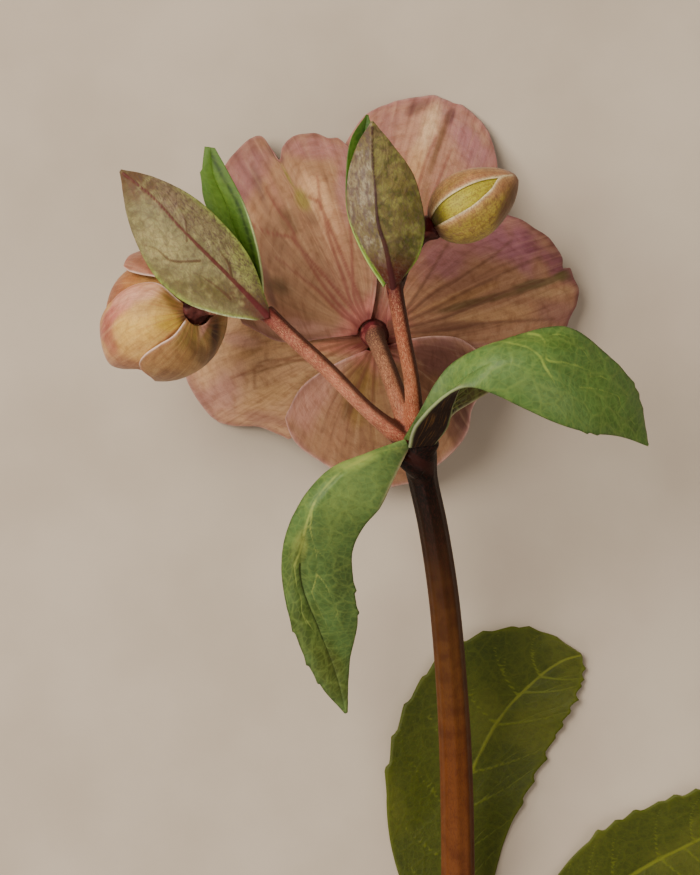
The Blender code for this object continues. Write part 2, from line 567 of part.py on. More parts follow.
def build_leaf(group, green):
    """The stem leaf: three toothed leaflets that spread from the end of one stalk."""
    blade(
        "leaflet_upper",
        [(14.6, -104.0, 1.9), (3.5, -93.0, 1.6), (-3.0, -77.0, 0.3), (-3.5, -61.0, 1.6),
         (1.5, -47.0, 0.9), (11.5, -37.5, 1.8), (23.0, -35.5, 0.9), (32.4, -40.0, 1.6)],
        [(15.4, -104.1, 1.9), (9.5, -91.0, 0.9), (8.0, -77.0, 0.0), (11.0, -65.0, 0.0),
         (16.5, -53.5, 0.1), (23.0, -46.0, 0.8), (28.5, -41.8, 1.0), (32.6, -40.4, 1.6)],
        [(16.2, -104.2, 1.9), (15.0, -91.0, 1.8), (17.4, -78.0, 0.3), (21.5, -67.5, 1.4),
         (26.5, -57.5, 0.9), (30.5, -50.0, 1.9), (32.6, -44.8, 1.0), (32.8, -40.8, 1.6)],
        rows=20, columns=6, thickness=LEAF_THICKNESS, arch=0.0, tooth=1.2,
        group=group, finish=green,
    )
    blade(
        "leaflet_side",
        [(17.3, -104.3, 1.9), (22.5, -91.0, 1.7), (29.5, -80.0, 1.0), (36.5, -73.5, 2.0),
         (45.5, -69.0, 0.9), (55.0, -66.0, 1.9), (64.5, -65.0, 1.0), (73.4, -67.2, 1.6)],
        [(18.0, -104.8, 1.9), (25.5, -95.5, 1.0), (34.0, -87.5, 0.5), (43.5, -81.0, 0.5),
         (53.0, -76.0, 0.5), (60.5, -72.5, 0.7), (67.5, -69.5, 1.0), (73.6, -67.5, 1.6)],
        [(18.5, -105.5, 1.9), (29.0, -102.0, 1.6), (40.0, -98.5, 1.0), (51.0, -93.5, 2.0),
         (59.5, -87.5, 0.9), (65.0, -81.0, 1.9), (70.5, -74.0, 1.0), (73.5, -67.9, 1.6)],
        rows=18, columns=6, thickness=LEAF_THICKNESS, arch=0.0, tooth=1.2,
        group=group, finish=green,
    )
    blade(
        "leaflet_lower",
        [(18.6, -106.3, 1.9), (29.0, -104.6, 1.5), (38.0, -104.0, 1.0), (47.0, -105.6, 1.9),
         (55.0, -109.4, 1.0), (62.4, -115.2, 1.6)],
        [(18.5, -107.0, 1.9), (28.5, -110.0, 1.0), (37.5, -112.0, 0.5), (46.0, -113.6, 0.5),
         (54.5, -114.8, 0.9), (62.5, -115.6, 1.6)],
        [(18.2, -107.8, 1.9), (25.0, -114.8, 1.6), (34.0, -119.4, 1.0), (43.5, -121.4, 1.8),
         (53.5, -120.0, 1.0), (62.4, -116.0, 1.6)],
        rows=14, columns=6, thickness=LEAF_THICKNESS, arch=0.0, tooth=1.2,
        group=group, finish=green,
    )


def main():
    clear_scene()
    group = new_collection("hellebore_flower")
    brown = material("stem_brown", (0.20, 0.09, 0.055), 0.6)
    mauve = material("tepal_mauve", (0.46, 0.27, 0.27), 0.65)
    buff = material("tepal_buff", (0.56, 0.44, 0.30), 0.65)
    green = material("bract_green", (0.13, 0.26, 0.08), 0.5)
    olive = material("bract_olive", (0.28, 0.29, 0.17), 0.6)
    dark = material("leaf_dark_green", (0.06, 0.10, 0.02), 0.6)
    yellow = material("nectary_yellow", (0.52, 0.56, 0.16), 0.5)
    cream = material("stamen_cream", (0.80, 0.74, 0.50), 0.7)
    ochre = material("bud_ochre", (0.42, 0.34, 0.12), 0.5)
    build_stem(group, brown)
    build_open_flower(group, mauve, buff)
    build_flower_centre(group, yellow, cream, olive)
    build_young_flower(group, mauve, buff, cream)
    build_bud(group, ochre)
    build_bracts(group, green, olive)
    build_leaf(group, dark)


main()
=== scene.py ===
import math
import random

import bmesh
import bpy
import numpy as np
from mathutils import Matrix, Vector, kdtree, noise


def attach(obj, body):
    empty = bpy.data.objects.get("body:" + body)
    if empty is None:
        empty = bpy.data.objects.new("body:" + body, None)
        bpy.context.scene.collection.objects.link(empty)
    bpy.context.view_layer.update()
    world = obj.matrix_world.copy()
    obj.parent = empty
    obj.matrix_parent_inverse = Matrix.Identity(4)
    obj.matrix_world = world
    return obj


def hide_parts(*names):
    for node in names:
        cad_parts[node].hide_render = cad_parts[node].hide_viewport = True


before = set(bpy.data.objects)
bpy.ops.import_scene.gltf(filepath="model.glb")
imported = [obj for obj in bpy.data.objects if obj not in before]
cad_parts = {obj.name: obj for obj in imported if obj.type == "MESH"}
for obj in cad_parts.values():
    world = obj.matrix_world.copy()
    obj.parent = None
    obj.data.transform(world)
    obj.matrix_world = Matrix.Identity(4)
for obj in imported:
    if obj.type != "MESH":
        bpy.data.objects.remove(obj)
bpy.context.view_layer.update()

# Studio.
# The stem lies on a pale paper floor under soft light from the left, and the camera looks
# straight down on it. Places on the plant are in mm, seen from above, from the fork of the stem.
MM = 0.001
FORK = np.array((-9, 29.6, 0))
CAMERA_PLACE = np.array((-10.85, 0.4375, 645))
CAMERA_REACH = 600.0
PICTURE_HEIGHT = 153.125
SENSOR_HEIGHT = 36.0
FLOOR_RADIUS = 2.5
WORLD_STRENGTH = 0.32
AIM_HEIGHT = 20.0
LIGHTS = (
    ("key_light", (-0.56, 0.34, 0.84), 0.80, 17.0, (1, 0.94, 0.82)),
    ("fill_light", (0.7, -0.3, 0.85), 0.90, 3.0, (1, 0.94, 0.86)),
    ("low_light", (-0.3, -0.8, 0.4), 0.60, 2.2, (1, 0.94, 0.84)),
)


def colour(code):
    """Linear colour of a six-digit screen colour."""
    shares = [int(code[index:index + 2], 16) / 255.0 for index in (0, 2, 4)]
    linear = [s / 12.92 if s <= 0.04045 else ((s + 0.055) / 1.055) ** 2.4 for s in shares]
    return (*linear, 1.0)


def put_in_scene(name, data):
    made = bpy.data.objects.new(name, data)
    bpy.context.scene.collection.objects.link(made)
    return made


class Term:
    """A value in a material. Arithmetic on it adds the material's Math nodes."""

    def __init__(self, finish, socket):
        self.finish = finish
        self.socket = socket

    def math(self, operation, first, second):
        return self.finish.node("ShaderNodeMath", {"operation": operation}, {0: first, 1: second})

    def __add__(self, other):
        return self.math("ADD", self, other)

    def __sub__(self, other):
        return self.math("SUBTRACT", self, other)

    def __rsub__(self, other):
        return self.math("SUBTRACT", other, self)

    def __mul__(self, other):
        return self.math("MULTIPLY", self, other)

    __radd__ = __add__
    __rmul__ = __mul__

    def rise(self, low, high):
        """0 below low, 1 above high, and smooth between them."""
        ends = {"Value": self, "From Min": low, "From Max": high}
        return self.finish.node("ShaderNodeMapRange", {"interpolation_type": "SMOOTHSTEP"}, ends)


class Finish:
    """A material on one Principled shader, built up from nodes."""

    def __init__(self, name, **sockets):
        self.material = bpy.data.materials.new(name)
        self.material.use_nodes = True
        self.tree = self.material.node_tree
        self.shader = self.tree.nodes["Principled BSDF"]
        self.set(Specular_IOR_Level=0.22)
        self.set(**sockets)

    def set(self, **sockets):
        for name, value in sockets.items():
            self.feed(self.shader.inputs[name.replace("_", " ")], value)

    def feed(self, socket, value):
        """Gives a socket a term, a value, or a colour by its code."""
        if isinstance(value, Term):
            self.tree.links.new(value.socket, socket)
        else:
            socket.default_value = colour(value) if isinstance(value, str) else value

    def node(self, kind, settings, sockets, output=0):
        made = self.tree.nodes.new(kind)
        for name, value in settings.items():
            setattr(made, name, value)
        for name, value in sockets.items():
            self.feed(made.inputs[name], value)
        return Term(self, made.outputs[output])

    def mix(self, share, first, second, blend="MIX"):
        settings = {"data_type": "RGBA", "blend_type": blend}
        return self.node("ShaderNodeMix", settings, {0: share, 6: first, 7: second}, 2)

    def attribute(self, name, output="Fac"):
        return self.node("ShaderNodeAttribute", {"attribute_name": name}, {}, output)

    def scaled(self, where, *scale):
        return self.node("ShaderNodeMapping", {}, {"Vector": where, "Scale": scale})

    def place(self, stretch=1.0):
        """Object coordinates in mm, stretched."""
        where = self.node("ShaderNodeTexCoord", {}, {}, "Object")
        size = 1.0 / MM / stretch
        return self.scaled(where, size, size, size)

    def noise(self, where, scale, detail=2.0, distortion=0.0):
        sockets = {"Vector": where, "Scale": scale, "Detail": detail, "Distortion": distortion}
        return self.node("ShaderNodeTexNoise", {}, sockets)

    def cells(self, where, scale):
        """Distance to the border between the cells of a net."""
        sockets = {"Vector": where, "Scale": scale}
        return self.node("ShaderNodeTexVoronoi", {"feature": "DISTANCE_TO_EDGE"}, sockets)

    def bump(self, height, strength, depth):
        sockets = {"Height": height, "Strength": strength, "Distance": depth * MM}
        self.set(Normal=self.node("ShaderNodeBump", {}, sockets))


paper = Finish("pale_paper", Roughness=0.85)
grain = paper.noise(paper.place(30.0), 1.0, 4.0)
paper.set(Base_Color=paper.mix(grain.rise(0.3, 0.7), "b9aa9b", "c3b5a6"))
paper.bump(paper.noise(paper.place(), 1.2, 3.0), 0.15, 0.1)

disc = bmesh.new()
bmesh.ops.create_circle(disc, cap_ends=True, segments=96, radius=FLOOR_RADIUS)
floor_mesh = bpy.data.meshes.new("floor")
disc.to_mesh(floor_mesh)
disc.free()
floor_mesh.materials.append(paper.material)
floor = put_in_scene("floor", floor_mesh)

world = bpy.data.worlds.new("studio")
world.use_nodes = True
world.node_tree.nodes["Background"].inputs["Color"].default_value = colour("d2c2ae")
world.node_tree.nodes["Background"].inputs["Strength"].default_value = WORLD_STRENGTH
bpy.context.scene.world = world

aim = Vector((*FORK[:2], AIM_HEIGHT)) * MM
for name, place, size, power, tint in LIGHTS:
    lamp = bpy.data.lights.new(name, "AREA")
    lamp.shape = "DISK"
    lamp.size = size
    lamp.energy = power
    lamp.color = tint
    light = put_in_scene(name, lamp)
    light.location = aim + Vector(place)
    light.rotation_euler = (-Vector(place)).to_track_quat("-Z", "Y").to_euler()

lens = bpy.data.cameras.new("camera")
lens.sensor_fit = "VERTICAL"
lens.sensor_height = SENSOR_HEIGHT
lens.lens = SENSOR_HEIGHT * CAMERA_REACH / PICTURE_HEIGHT
camera = put_in_scene("camera", lens)
camera.location = Vector(FORK + CAMERA_PLACE) * MM
bpy.context.scene.camera = camera

# Stem and stalks.
# One living stem with a swollen fork, three branches, the two flowers' receptacles and the bud's,
# and the stalk of the stem leaf. It is firm, ribbed lengthwise, and dark where it has ripened. The
# near-black at the fork and at the top of the main stem is painted shade under the bracts, and each
# stalk's side away from the light is darkened with painted shade.
VOXEL = 0.27
RIB_COUNT = 9
RIB_DEPTH = 0.07
FLOWER = np.array((-6.5, 19, 27))
FLOWER_AXIS = Vector((0.05, 0.18, -1)).normalized()
YOUNG_BASE = np.array((-38.4, 23, 40.2))
YOUNG_AXIS = Vector((-0.62, -0.06, -0.78)).normalized()
BUD_BASE = np.array((3.3, 37.2, 42))
BUD_TIP = np.array((18.5, 46.3, 42))
BUD_AXIS = Vector(BUD_TIP - BUD_BASE).normalized()
UP = Vector((0, 0, 1))
FROM_FORK = Matrix.Translation(Vector(FORK) * MM) @ Matrix.Scale(MM, 4)
STALK_SIDES = 24
STALK_STEP = 0.8
CUT = -123.2

# Each stalk has its route, its radii, and its colours from start to end.
STALKS = {
    "main": (
        [(0.9, 0.6, 45), (1.2, -2, 44), (2, -7, 41), (4, -16, 36), (6, -28.5, 30), (7.5, -43.5, 23.5),
         (8.5, -58.5, 17.5), (9, -74, 12.4), (9.2, -90, 8.4), (9.2, -106, 5.3), (9, -124, 3.35)],
        [2.2, 3.2, 2.7, 2.7, 2.8, 2.9, 3.05, 3.15, 3.2, 3.3, 3.3],
        # The near-black at the top of the main stem is painted shade under the bracts; lower down it is the
        # stem's own brown.
        ["080301", "080301", "0c0502", "2c1808", "4c2c10", "5c3613", "643613", "683a18", "6b3c1b", "6d421f",
         "6a5228"],
    ),
    "left_branch": (
        [(-0.5, -0.5, 45.3), (-7.5, 5, 47.5), (-14.5, 12, 48.5), (-21, 18, 48.5), (-25.6, 22.4, 48)],
        [2.1, 1.5, 1.5, 1.5, 1.6],
        ["9c4436", "b4705a", "b06c56", "985648", "6a2226"],
    ),
    "young_stalk": (
        [(-24.6, 21.6, 48), (-28.8, 22.8, 46.4), (-33.4, 23, 43.9), (-37.8, 23.1, 40.9)],
        [1.4, 1.2, 1.2, 1.4],
        ["5e2226", "7c3c3c", "8a4a44", "3a1210"],
    ),
    "right_branch": (
        [(0.6, -0.6, 45.3), (0, 9.5, 48), (-1.5, 17.5, 49), (-2.8, 24.5, 49.4), (-3.2, 27.4, 49)],
        [2.0, 1.5, 1.45, 1.5, 1.6],
        ["98402f", "a05c40", "944f38", "6a2e26", "420f10"],
    ),
    "bud_stalk": (
        [(-3.1, 25.6, 49.2), (-1.4, 30, 46), (0.6, 34, 43.4), (2.8, 36.9, 42)],
        [1.4, 1.1, 1.2, 1.6],
        ["4a181c", "4a1418", "4c1216", "501418"],
    ),
    "flower_stalk": (
        [(0.2, -0.8, 45), (-1.8, 5.5, 44.5), (-4, 12, 40.5), (-5.8, 16.8, 34.5), (-6.5, 18.9, 29)],
        [2.2, 1.8, 1.7, 1.7, 2.0],
        ["98402f", "9c5c44", "8e5c46", "6a4438", "4a1c28"],
    ),
    "bract_neck": (
        [(1, -1.6, 44.4), (2.4, -1, 45.3), (3.8, 0.2, 46.2)],
        [2.7, 2.3, 1.5],
        # Near-black: painted deep shade on the keel of the large bract's folded base.
        ["150b05"] * 3,
    ),
    "sheath": (
        [(1.2, -5.2, 44.2), (-1, -4, 45.8), (-2.9, -2.9, 46.9)],
        [1.9, 1.4, 0.8],
        ["1c0f06", "25140a", "4a3a1c"],
    ),
    "leaf_stalk": (
        [(9.2, -119.5, 3.9), (12.6, -114.5, 3.2), (15.2, -109.6, 2.4), (16.2, -106.6, 2)],
        [1.7, 1.5, 1.5, 1.6],
        ["6f5a34", "5c5a24", "4c5420", "3c4a18"],
    ),
}
FLECKED = ("left_branch", "right_branch", "flower_stalk", "young_stalk")
RECEPTACLES = (
    (FLOWER, FLOWER_AXIS, 24, [(1.6, -2.8), (1.9, -1.6), (2.4, -0.5), (2.8, 0.6), (2.8, 2.6), (2.7, 4.6),
                               (2.3, 5.6)]),
    (YOUNG_BASE, YOUNG_AXIS, 20, [(1.3, -2.2), (2.7, -1.2), (2.9, -0.3), (2.4, 0.6), (2, 2.6), (1.6, 3.2)]),
    (BUD_BASE, BUD_AXIS, 20, [(1.4, -1.6), (2.2, -0.7), (2.6, 0.2), (2.4, 0.9)]),
)
LEAF_KNOT = (16.4, -106.2, 1.9)


def spline(points, share):
    """Places at the given shares of the smooth curve through evenly timed points."""
    points = np.array(points, float)
    place = np.clip(share, 0.0, 1.0) * (len(points) - 1)
    step = np.minimum(place.astype(int), len(points) - 2)
    part = (place - step)[:, None]
    here = points[step]
    after = points[step + 1]
    before = points[np.maximum(step - 1, 0)]
    beyond = points[np.minimum(step + 2, len(points) - 1)]
    bend = 2 * before - 5 * here + 4 * after - beyond
    turn = 3 * here - before - 3 * after + beyond
    return 0.5 * (2 * here + (after - before) * part + bend * part**2 + turn * part**3)


def level(values, share):
    """Numbers at the given shares of the smooth run through evenly timed numbers."""
    return spline(np.array(values)[:, None], share)[:, 0]


def travel(line):
    """The way travelled along a line, at each of its places."""
    return np.concatenate(([0.0], np.cumsum(np.linalg.norm(np.diff(line, axis=0), axis=1))))


def fade(value, low, high):
    """0 below low, 1 above high, and smooth between them."""
    share = np.clip((value - low) / (high - low), 0.0, 1.0)
    return share * share * (3.0 - 2.0 * share)


def fall(value, low, high):
    return 1.0 - fade(value, low, high)


def bell(away, reach):
    return np.exp(-((away / reach) ** 2))


def dye(ground, code, share):
    """The ground's colours, turned towards one colour by each point's share."""
    return ground + share[:, None] * (np.array(colour(code)[:3]) - ground)


def unit(vectors):
    return vectors / np.maximum(np.linalg.norm(vectors, axis=1), 1e-9)[:, None]


def frame_along(axis, upward=UP):
    """Turn whose third direction is the axis and whose first is as near to upward as can be."""
    first = (upward - axis * upward.dot(axis)).normalized()
    return Matrix((first, axis.cross(first), axis)).transposed()


def rings(shape, places, sides, hoop=False):
    """A tube through rings, each given by its centre, radius and turn, closed at its ends."""
    loops = []
    for centre, radius, turn in places:
        where = Matrix.Translation(Vector(centre)) @ turn.to_4x4()
        ring = bmesh.ops.create_circle(shape, segments=sides, radius=radius, matrix=where)["verts"]
        loops.append(list({edge for vert in ring for edge in vert.link_edges}))
    for lower, upper in zip(loops, loops[1:]):
        bmesh.ops.bridge_loops(shape, edges=lower + upper)
    if hoop:
        bmesh.ops.bridge_loops(shape, edges=loops[-1] + loops[0])
    else:
        bmesh.ops.holes_fill(shape, edges=loops[0] + loops[-1], sides=0)


def tube(shape, route, radii, sides):
    """A round tube along a route, with a radius for each of its places."""
    ahead = unit(np.gradient(route, axis=0))
    side = Vector((0.31, 0.53, 0.79))
    places = []
    for centre, radius, axis in zip(route, radii, ahead):
        turn = frame_along(Vector(axis), side)
        side = turn.col[0].copy()
        places.append((centre, radius, turn))
    rings(shape, places, sides)


def turned(shape, profile, sides, base, turn, hoop=False):
    """A turned form from its (radius, height) profile, along the turn's third direction."""
    axis = turn.col[2]
    rings(shape, [(Vector(base) + axis * h, r, turn) for r, h in profile], sides, hoop)


def object_from(name, shape, finish, node=None, slot=None, open_sheet=False):
    """Makes the bmesh, in mm from the fork, a piece that rides on the plant."""
    if not open_sheet:
        bmesh.ops.recalc_face_normals(shape, faces=shape.faces)
    bmesh.ops.transform(shape, matrix=FROM_FORK, verts=shape.verts)
    mesh = bpy.data.meshes.new(name)
    shape.to_mesh(mesh)
    shape.free()
    mesh.shade_smooth()
    piece = put_in_scene(name, mesh)
    if finish:
        mesh.materials.append(finish.material)
    if slot:
        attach(piece, "root")
    if node:
        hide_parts(node)
    return piece


def places_of(mesh):
    """Places of a mesh's points, in mm from the fork."""
    flat = np.empty(len(mesh.vertices) * 3, np.float32)
    mesh.vertices.foreach_get("co", flat)
    return flat.reshape(-1, 3).astype(float) / MM - FORK


def put_places(mesh, places):
    mesh.vertices.foreach_set("co", ((places + FORK) * MM).astype(np.float32).ravel())
    mesh.update()


def ragged(places, scale, seed):
    """A slow, uneven value about 0 at each place."""
    away = Vector((seed * 7.3, seed * 3.1, seed * 5.7))
    return np.array([noise.fractal(Vector(p) * scale + away, 1.0, 2.0, 3) for p in places])


def paint(mesh, name, values, last=0.0):
    """Stores for each point of a mesh a number, or three numbers and a last one."""
    values = np.asarray(values, np.float32)
    if values.ndim == 1:
        mesh.attributes.new(name, "FLOAT", "POINT").data.foreach_set("value", values)
        return
    four = np.full((len(values), 4), last, np.float32)
    four[:, :values.shape[1]] = values
    mesh.attributes.new(name, "FLOAT_COLOR", "POINT").data.foreach_set("color", four.ravel())


def tree_of(places):
    """A tree that finds the nearest of many places."""
    tree = kdtree.KDTree(len(places))
    for index, place in enumerate(places):
        tree.insert(place, index)
    tree.balance()
    return tree


stem_skin = Finish("stem_skin", Specular_IOR_Level=0.14, Subsurface_Weight=0.04, Subsurface_Scale=0.0008)
along_grain = stem_skin.attribute("grain", "Vector")
fleck = stem_skin.noise(along_grain, 9.5, 3.0, 0.5).rise(0.48, 0.64) * stem_skin.attribute("flecked")
fine = stem_skin.noise(along_grain, 5.5, 2.0)
blotch = stem_skin.noise(stem_skin.place(), 0.35, 3.0)
skin = stem_skin.attribute("wash", "Color")
skin = stem_skin.mix(blotch.rise(0.35, 0.75) * 0.45, skin, "7e2f28", "MULTIPLY")
skin = stem_skin.mix(fleck * 0.50, skin, "d6a67e")
skin = stem_skin.mix((1.0 - fine.rise(0.35, 0.55)) * 0.35, skin, "451a12")
# Painted shade, with some of the stalks' own darker colour: the side of each stalk turned away from the
# light is darkened to deep red-brown.
skin = stem_skin.mix(stem_skin.attribute("painted_shade") * 0.85, skin, "2c100c")
stem_skin.set(Base_Color=skin, Roughness=0.36 + 0.25 * fine)
stem_skin.bump(fleck * 0.4 + fine + blotch, 0.35, 0.12)

shape = bmesh.new()
route_places = []
route_wash = []
route_facts = []
for name, (route, radii, shades) in STALKS.items():
    share = np.linspace(0.0, 1.0, max(int(travel(route)[-1] / STALK_STEP), 8))
    line = spline(route, share)
    tube(shape, line, level(radii, share), STALK_SIDES)
    route_places.append(line)
    route_wash.append(spline([colour(s)[:3] for s in shades], share))
    ahead = unit(np.gradient(line, axis=0))
    side = unit(np.cross(ahead, UP))
    marks = np.tile((float(name in FLECKED), float(name == "main")), (len(line), 1))
    route_facts.append(np.c_[travel(line), ahead, side, marks])
for base, axis, sides, profile in RECEPTACLES:
    turned(shape, profile, sides, base, frame_along(axis))
turned(shape, [(1.2, -0.8), (1.7, -0.2), (1.7, 0.6), (1.1, 1.2)], 20, LEAF_KNOT, Matrix.Identity(3))
rough_stem = object_from("rough_stem", shape, None)
merge = rough_stem.modifiers.new("merge", "REMESH")
merge.mode = "VOXEL"
merge.voxel_size = VOXEL * MM
bpy.context.view_layer.update()
merged = bpy.data.meshes.new_from_object(rough_stem.evaluated_get(bpy.context.evaluated_depsgraph_get()))
bpy.data.objects.remove(rough_stem, do_unlink=True)
shape = bmesh.new()
shape.from_mesh(merged)
all_axes = {"use_axis_x": True, "use_axis_y": True, "use_axis_z": True}
for step in range(4):
    bmesh.ops.smooth_vert(shape, verts=shape.verts, factor=0.5, **all_axes)
bmesh.ops.transform(shape, matrix=FROM_FORK.inverted(), verts=shape.verts)
stem = object_from("stem_and_stalks_skin", shape, stem_skin, "stem_and_stalks", "stem")

route_places = np.concatenate(route_places)
route_wash = np.concatenate(route_wash)
route_facts = np.concatenate(route_facts)
tree = tree_of(route_places)
here = places_of(stem.data)
nearest = np.array([tree.find(place)[1] for place in here])
facts = route_facts[nearest]
ahead = facts[:, 1:4]
side = facts[:, 4:7]
top = np.cross(side, ahead)
off = here - route_places[nearest]
along = facts[:, 0] + (off * ahead).sum(1)
across = (off * side).sum(1)
height = (off * top).sum(1)
radial = unit(across[:, None] * side + height[:, None] * top)
angle = np.arctan2(across, height)
ribs = np.cos(angle * RIB_COUNT) * RIB_DEPTH * (0.35 + 0.65 * facts[:, 8])
end_cap = (here[:, 1] < CUT) & (np.hypot(across, height) < 2.5)
here = here + radial * np.where(end_cap, 0.0, ribs - RIB_DEPTH)[:, None]
here[:, 1] += np.where(end_cap, 0.35, 0.0)
heart = fall(np.linalg.norm(here - FLOWER, axis=1), 3.0, 5.0)
cup = fall(np.linalg.norm(here - YOUNG_BASE, axis=1), 3.0, 4.6)
foot = fall(np.linalg.norm(here - BUD_BASE, axis=1), 2.4, 4.0)
knobs = ragged(here, 0.55, 7)
here = here + radial * ((heart + cup + foot) * (0.30 * knobs - 0.10))[:, None]
put_places(stem.data, here)
wash = route_wash[nearest]
wash = np.where(end_cap[:, None], colour("a39a62")[:3], wash)
# Painted shade: near the fork the stalks are darkened to near-black, in the shade under the bracts.
fork = fade(0.3 - here[:, 1], 0.0, 1.1) * (here[:, 1] > -7.0)
wash = dye(wash, "080200", fork)
glint = (heart + foot + 0.3 * cup) * fade(knobs, 0.0, 0.35)
# The dark maroon on the half-open flower's receptacle (cup) is painted shade in the hollow at its base.
for code, share in (("7c3238", heart), ("2c0c0c", cup), ("5c1218", foot), ("a8605a", glint)):
    wash = dye(wash, code, share * 0.85)
flecked = facts[:, 7] * (1.0 - fork) * (1.0 - cup) * (1.0 - heart) * (1.0 - foot)
neck = np.zeros(len(here))
for branch in ("left_branch", "right_branch"):
    neck = np.maximum(neck, fall(np.linalg.norm(here - STALKS[branch][0][-1], axis=1), 1.5, 5.0))
paint(stem.data, "wash", wash, 1.0)
paint(stem.data, "flecked", flecked * (1.0 - 0.8 * neck))
paint(stem.data, "grain", np.c_[across, height, along * 0.3])
# Painted shade on the side of each stalk that faces away from the light on the left, weaker and narrower on
# the main stem; part of this dark side is the stalks' own colour.
east = radial @ np.array((0.9, 0.35, 0))
painted_shade = np.where(facts[:, 8] > 0, 0.5 * fade(east, 0.45, 0.85), fade(east, 0.22, 0.60))
paint(stem.data, "painted_shade", painted_shade)

# Bracts.
# Leaf-like blades clasp the stalks below the flowers. Each is one thin living sheet with a midrib,
# side veins and a fine net, grown out of its stalk. The big ones are toothed, and the olive pair
# shows its flecked underside.
BLADE_THICKNESS = 0.45
ARCHED_WIDTH = 12.0
RIB_STEPS = 120
VEIN_STEPS = 140


def blade_form(left, middle, right, arch):
    """The surface between a midrib and two edges, as a place for each (across, along)."""

    def form(across, along):
        rib = spline(middle, along)
        edge = np.where(across[:, None] < 0, spline(left, along), spline(right, along))
        ahead = spline(middle, along + 0.03) - spline(middle, along - 0.03)
        wide = spline(right, along) - spline(left, along)
        width = np.linalg.norm(wide, axis=1)
        out = np.abs(across)
        swell = arch * 4.0 * out * (1.0 - out) * np.minimum(1.0, width / ARCHED_WIDTH)
        return rib + (edge - rib) * out[:, None] + unit(np.cross(wide, ahead)) * swell[:, None]

    return form


class Blade:
    """A thin sheet laid as a grid over a form, with the colours and veins of each of its points."""

    def __init__(self, form, rows, columns):
        self.form = form
        self.shape = bmesh.new()
        bmesh.ops.create_grid(self.shape, x_segments=columns, y_segments=rows, size=1.0)
        grid = np.array([vert.co[:2] for vert in self.shape.verts])
        self.across = grid[:, 0]
        self.along = grid[:, 1] / 2.0 + 0.5
        self.places = form(self.across, self.along)
        share = np.linspace(0.0, 1.0, RIB_STEPS)
        rib = form(share * 0.0, share)
        travelled = travel(rib)
        half_left = np.linalg.norm(form(share * 0.0 - 1.0, share) - rib, axis=1)
        half_right = np.linalg.norm(form(share * 0.0 + 1.0, share) - rib, axis=1)
        left = np.interp(self.along, share, half_left)
        right = np.interp(self.along, share, half_right)
        self.travelled = np.interp(self.along, share, travelled)
        self.half = np.where(self.across < 0, left, right)
        self.side = (1.0 - np.abs(self.across)) * self.half
        self.margin = np.minimum(self.side, travelled[-1] - self.travelled)
        count = len(self.places)
        self.tint = np.zeros((count, 3))
        self.ink = np.zeros((count, 3))
        self.vein = np.zeros(count)
        self.fleck = np.zeros(count)
        self.painted_shade = np.zeros(count)

    def upward(self):
        step = 0.004
        ahead = self.form(self.across, np.minimum(self.along + step, 1.0))
        ahead -= self.form(self.across, np.maximum(self.along - step, 0.0))
        wide = self.form(self.across + step, self.along) - self.form(self.across - step, self.along)
        return unit(np.cross(wide, ahead))

    def lift(self, height):
        self.places = self.places + self.upward() * height[:, None]

    def ragged(self, scale, seed):
        return ragged(self.places, scale, seed)

    def wash(self, ground, seed, patches):
        self.tint[:] = colour(ground)[:3]
        self.spots(seed, patches)

    def spots(self, seed, patches):
        """Lays soft patches over what is there: colour, x, y, length, width, turn, strength."""
        wander = self.ragged(0.16, seed)
        for code, x, y, long, wide, turn, strength in patches:
            turn = math.radians(turn)
            east = self.places[:, 0] - x
            north = self.places[:, 1] - y
            away = np.hypot(
                (east * math.cos(turn) + north * math.sin(turn)) / long,
                (north * math.cos(turn) - east * math.sin(turn)) / wide,
            )
            self.blend(code, strength * fall(away + 0.5 * wander, 0.35, 1.3))

    def blend(self, code, share):
        self.tint = dye(self.tint, code, share)

    def midrib(self, code, *ribs):
        """Veins along the middle, each through given shares of the way to the tip."""
        self.draw(code, [([(0.0, a) for a in along], *facts) for along, *facts in ribs])

    def draw(self, code, routes, plan=False):
        """Veins along routes of (across, along), each with its width and strength at both ends.
        In plan, the routes are in mm from the fork, as the camera sees them."""
        lines = []
        facts = []
        for points, width_from, width_to, strength_from, strength_to in routes:
            share = np.linspace(0.0, 1.0, VEIN_STEPS)
            line = spline([(*p, 0.0) for p in points], share)
            lines.append(line if plan else self.form(line[:, 0], line[:, 1]))
            widths = width_from + (width_to - width_from) * share
            strengths = strength_from + (strength_to - strength_from) * share
            facts.append(np.c_[widths, strengths])
        lines = np.concatenate(lines)
        facts = np.concatenate(facts)
        tree = tree_of(lines)
        here = self.form(self.across, self.along)
        here[:, 2] *= not plan
        found = [tree.find(place)[1:] for place in here]
        width, strength = facts[[index for index, away in found]].T
        away = np.array([away for index, away in found])
        vein = strength * bell(away, width)
        self.ink = np.where((vein > self.vein)[:, None], np.array(colour(code)[:3]), self.ink)
        self.vein = np.maximum(self.vein, vein)

    def piece(self, name, node, slot, finishes, thickness):
        for vert, place in zip(self.shape.verts, self.places):
            vert.co = place
        made = object_from(name, self.shape, None, node, slot, open_sheet=True)
        for finish in finishes:
            made.data.materials.append(finish.material)
        paint(made.data, "wash", self.tint, 1.0)
        paint(made.data, "ink", self.ink, 1.0)
        for name in ("vein", "fleck", "painted_shade"):
            paint(made.data, name, getattr(self, name))
        paint(made.data, "grain", np.c_[self.across * self.half, self.travelled])
        paint(made.data, "fan", np.c_[self.across, self.along])
        wall = made.modifiers.new("thickness", "SOLIDIFY")
        wall.thickness = thickness * MM
        wall.offset = 0.0
        wall.material_offset = 1
        wall.material_offset_rim = 2


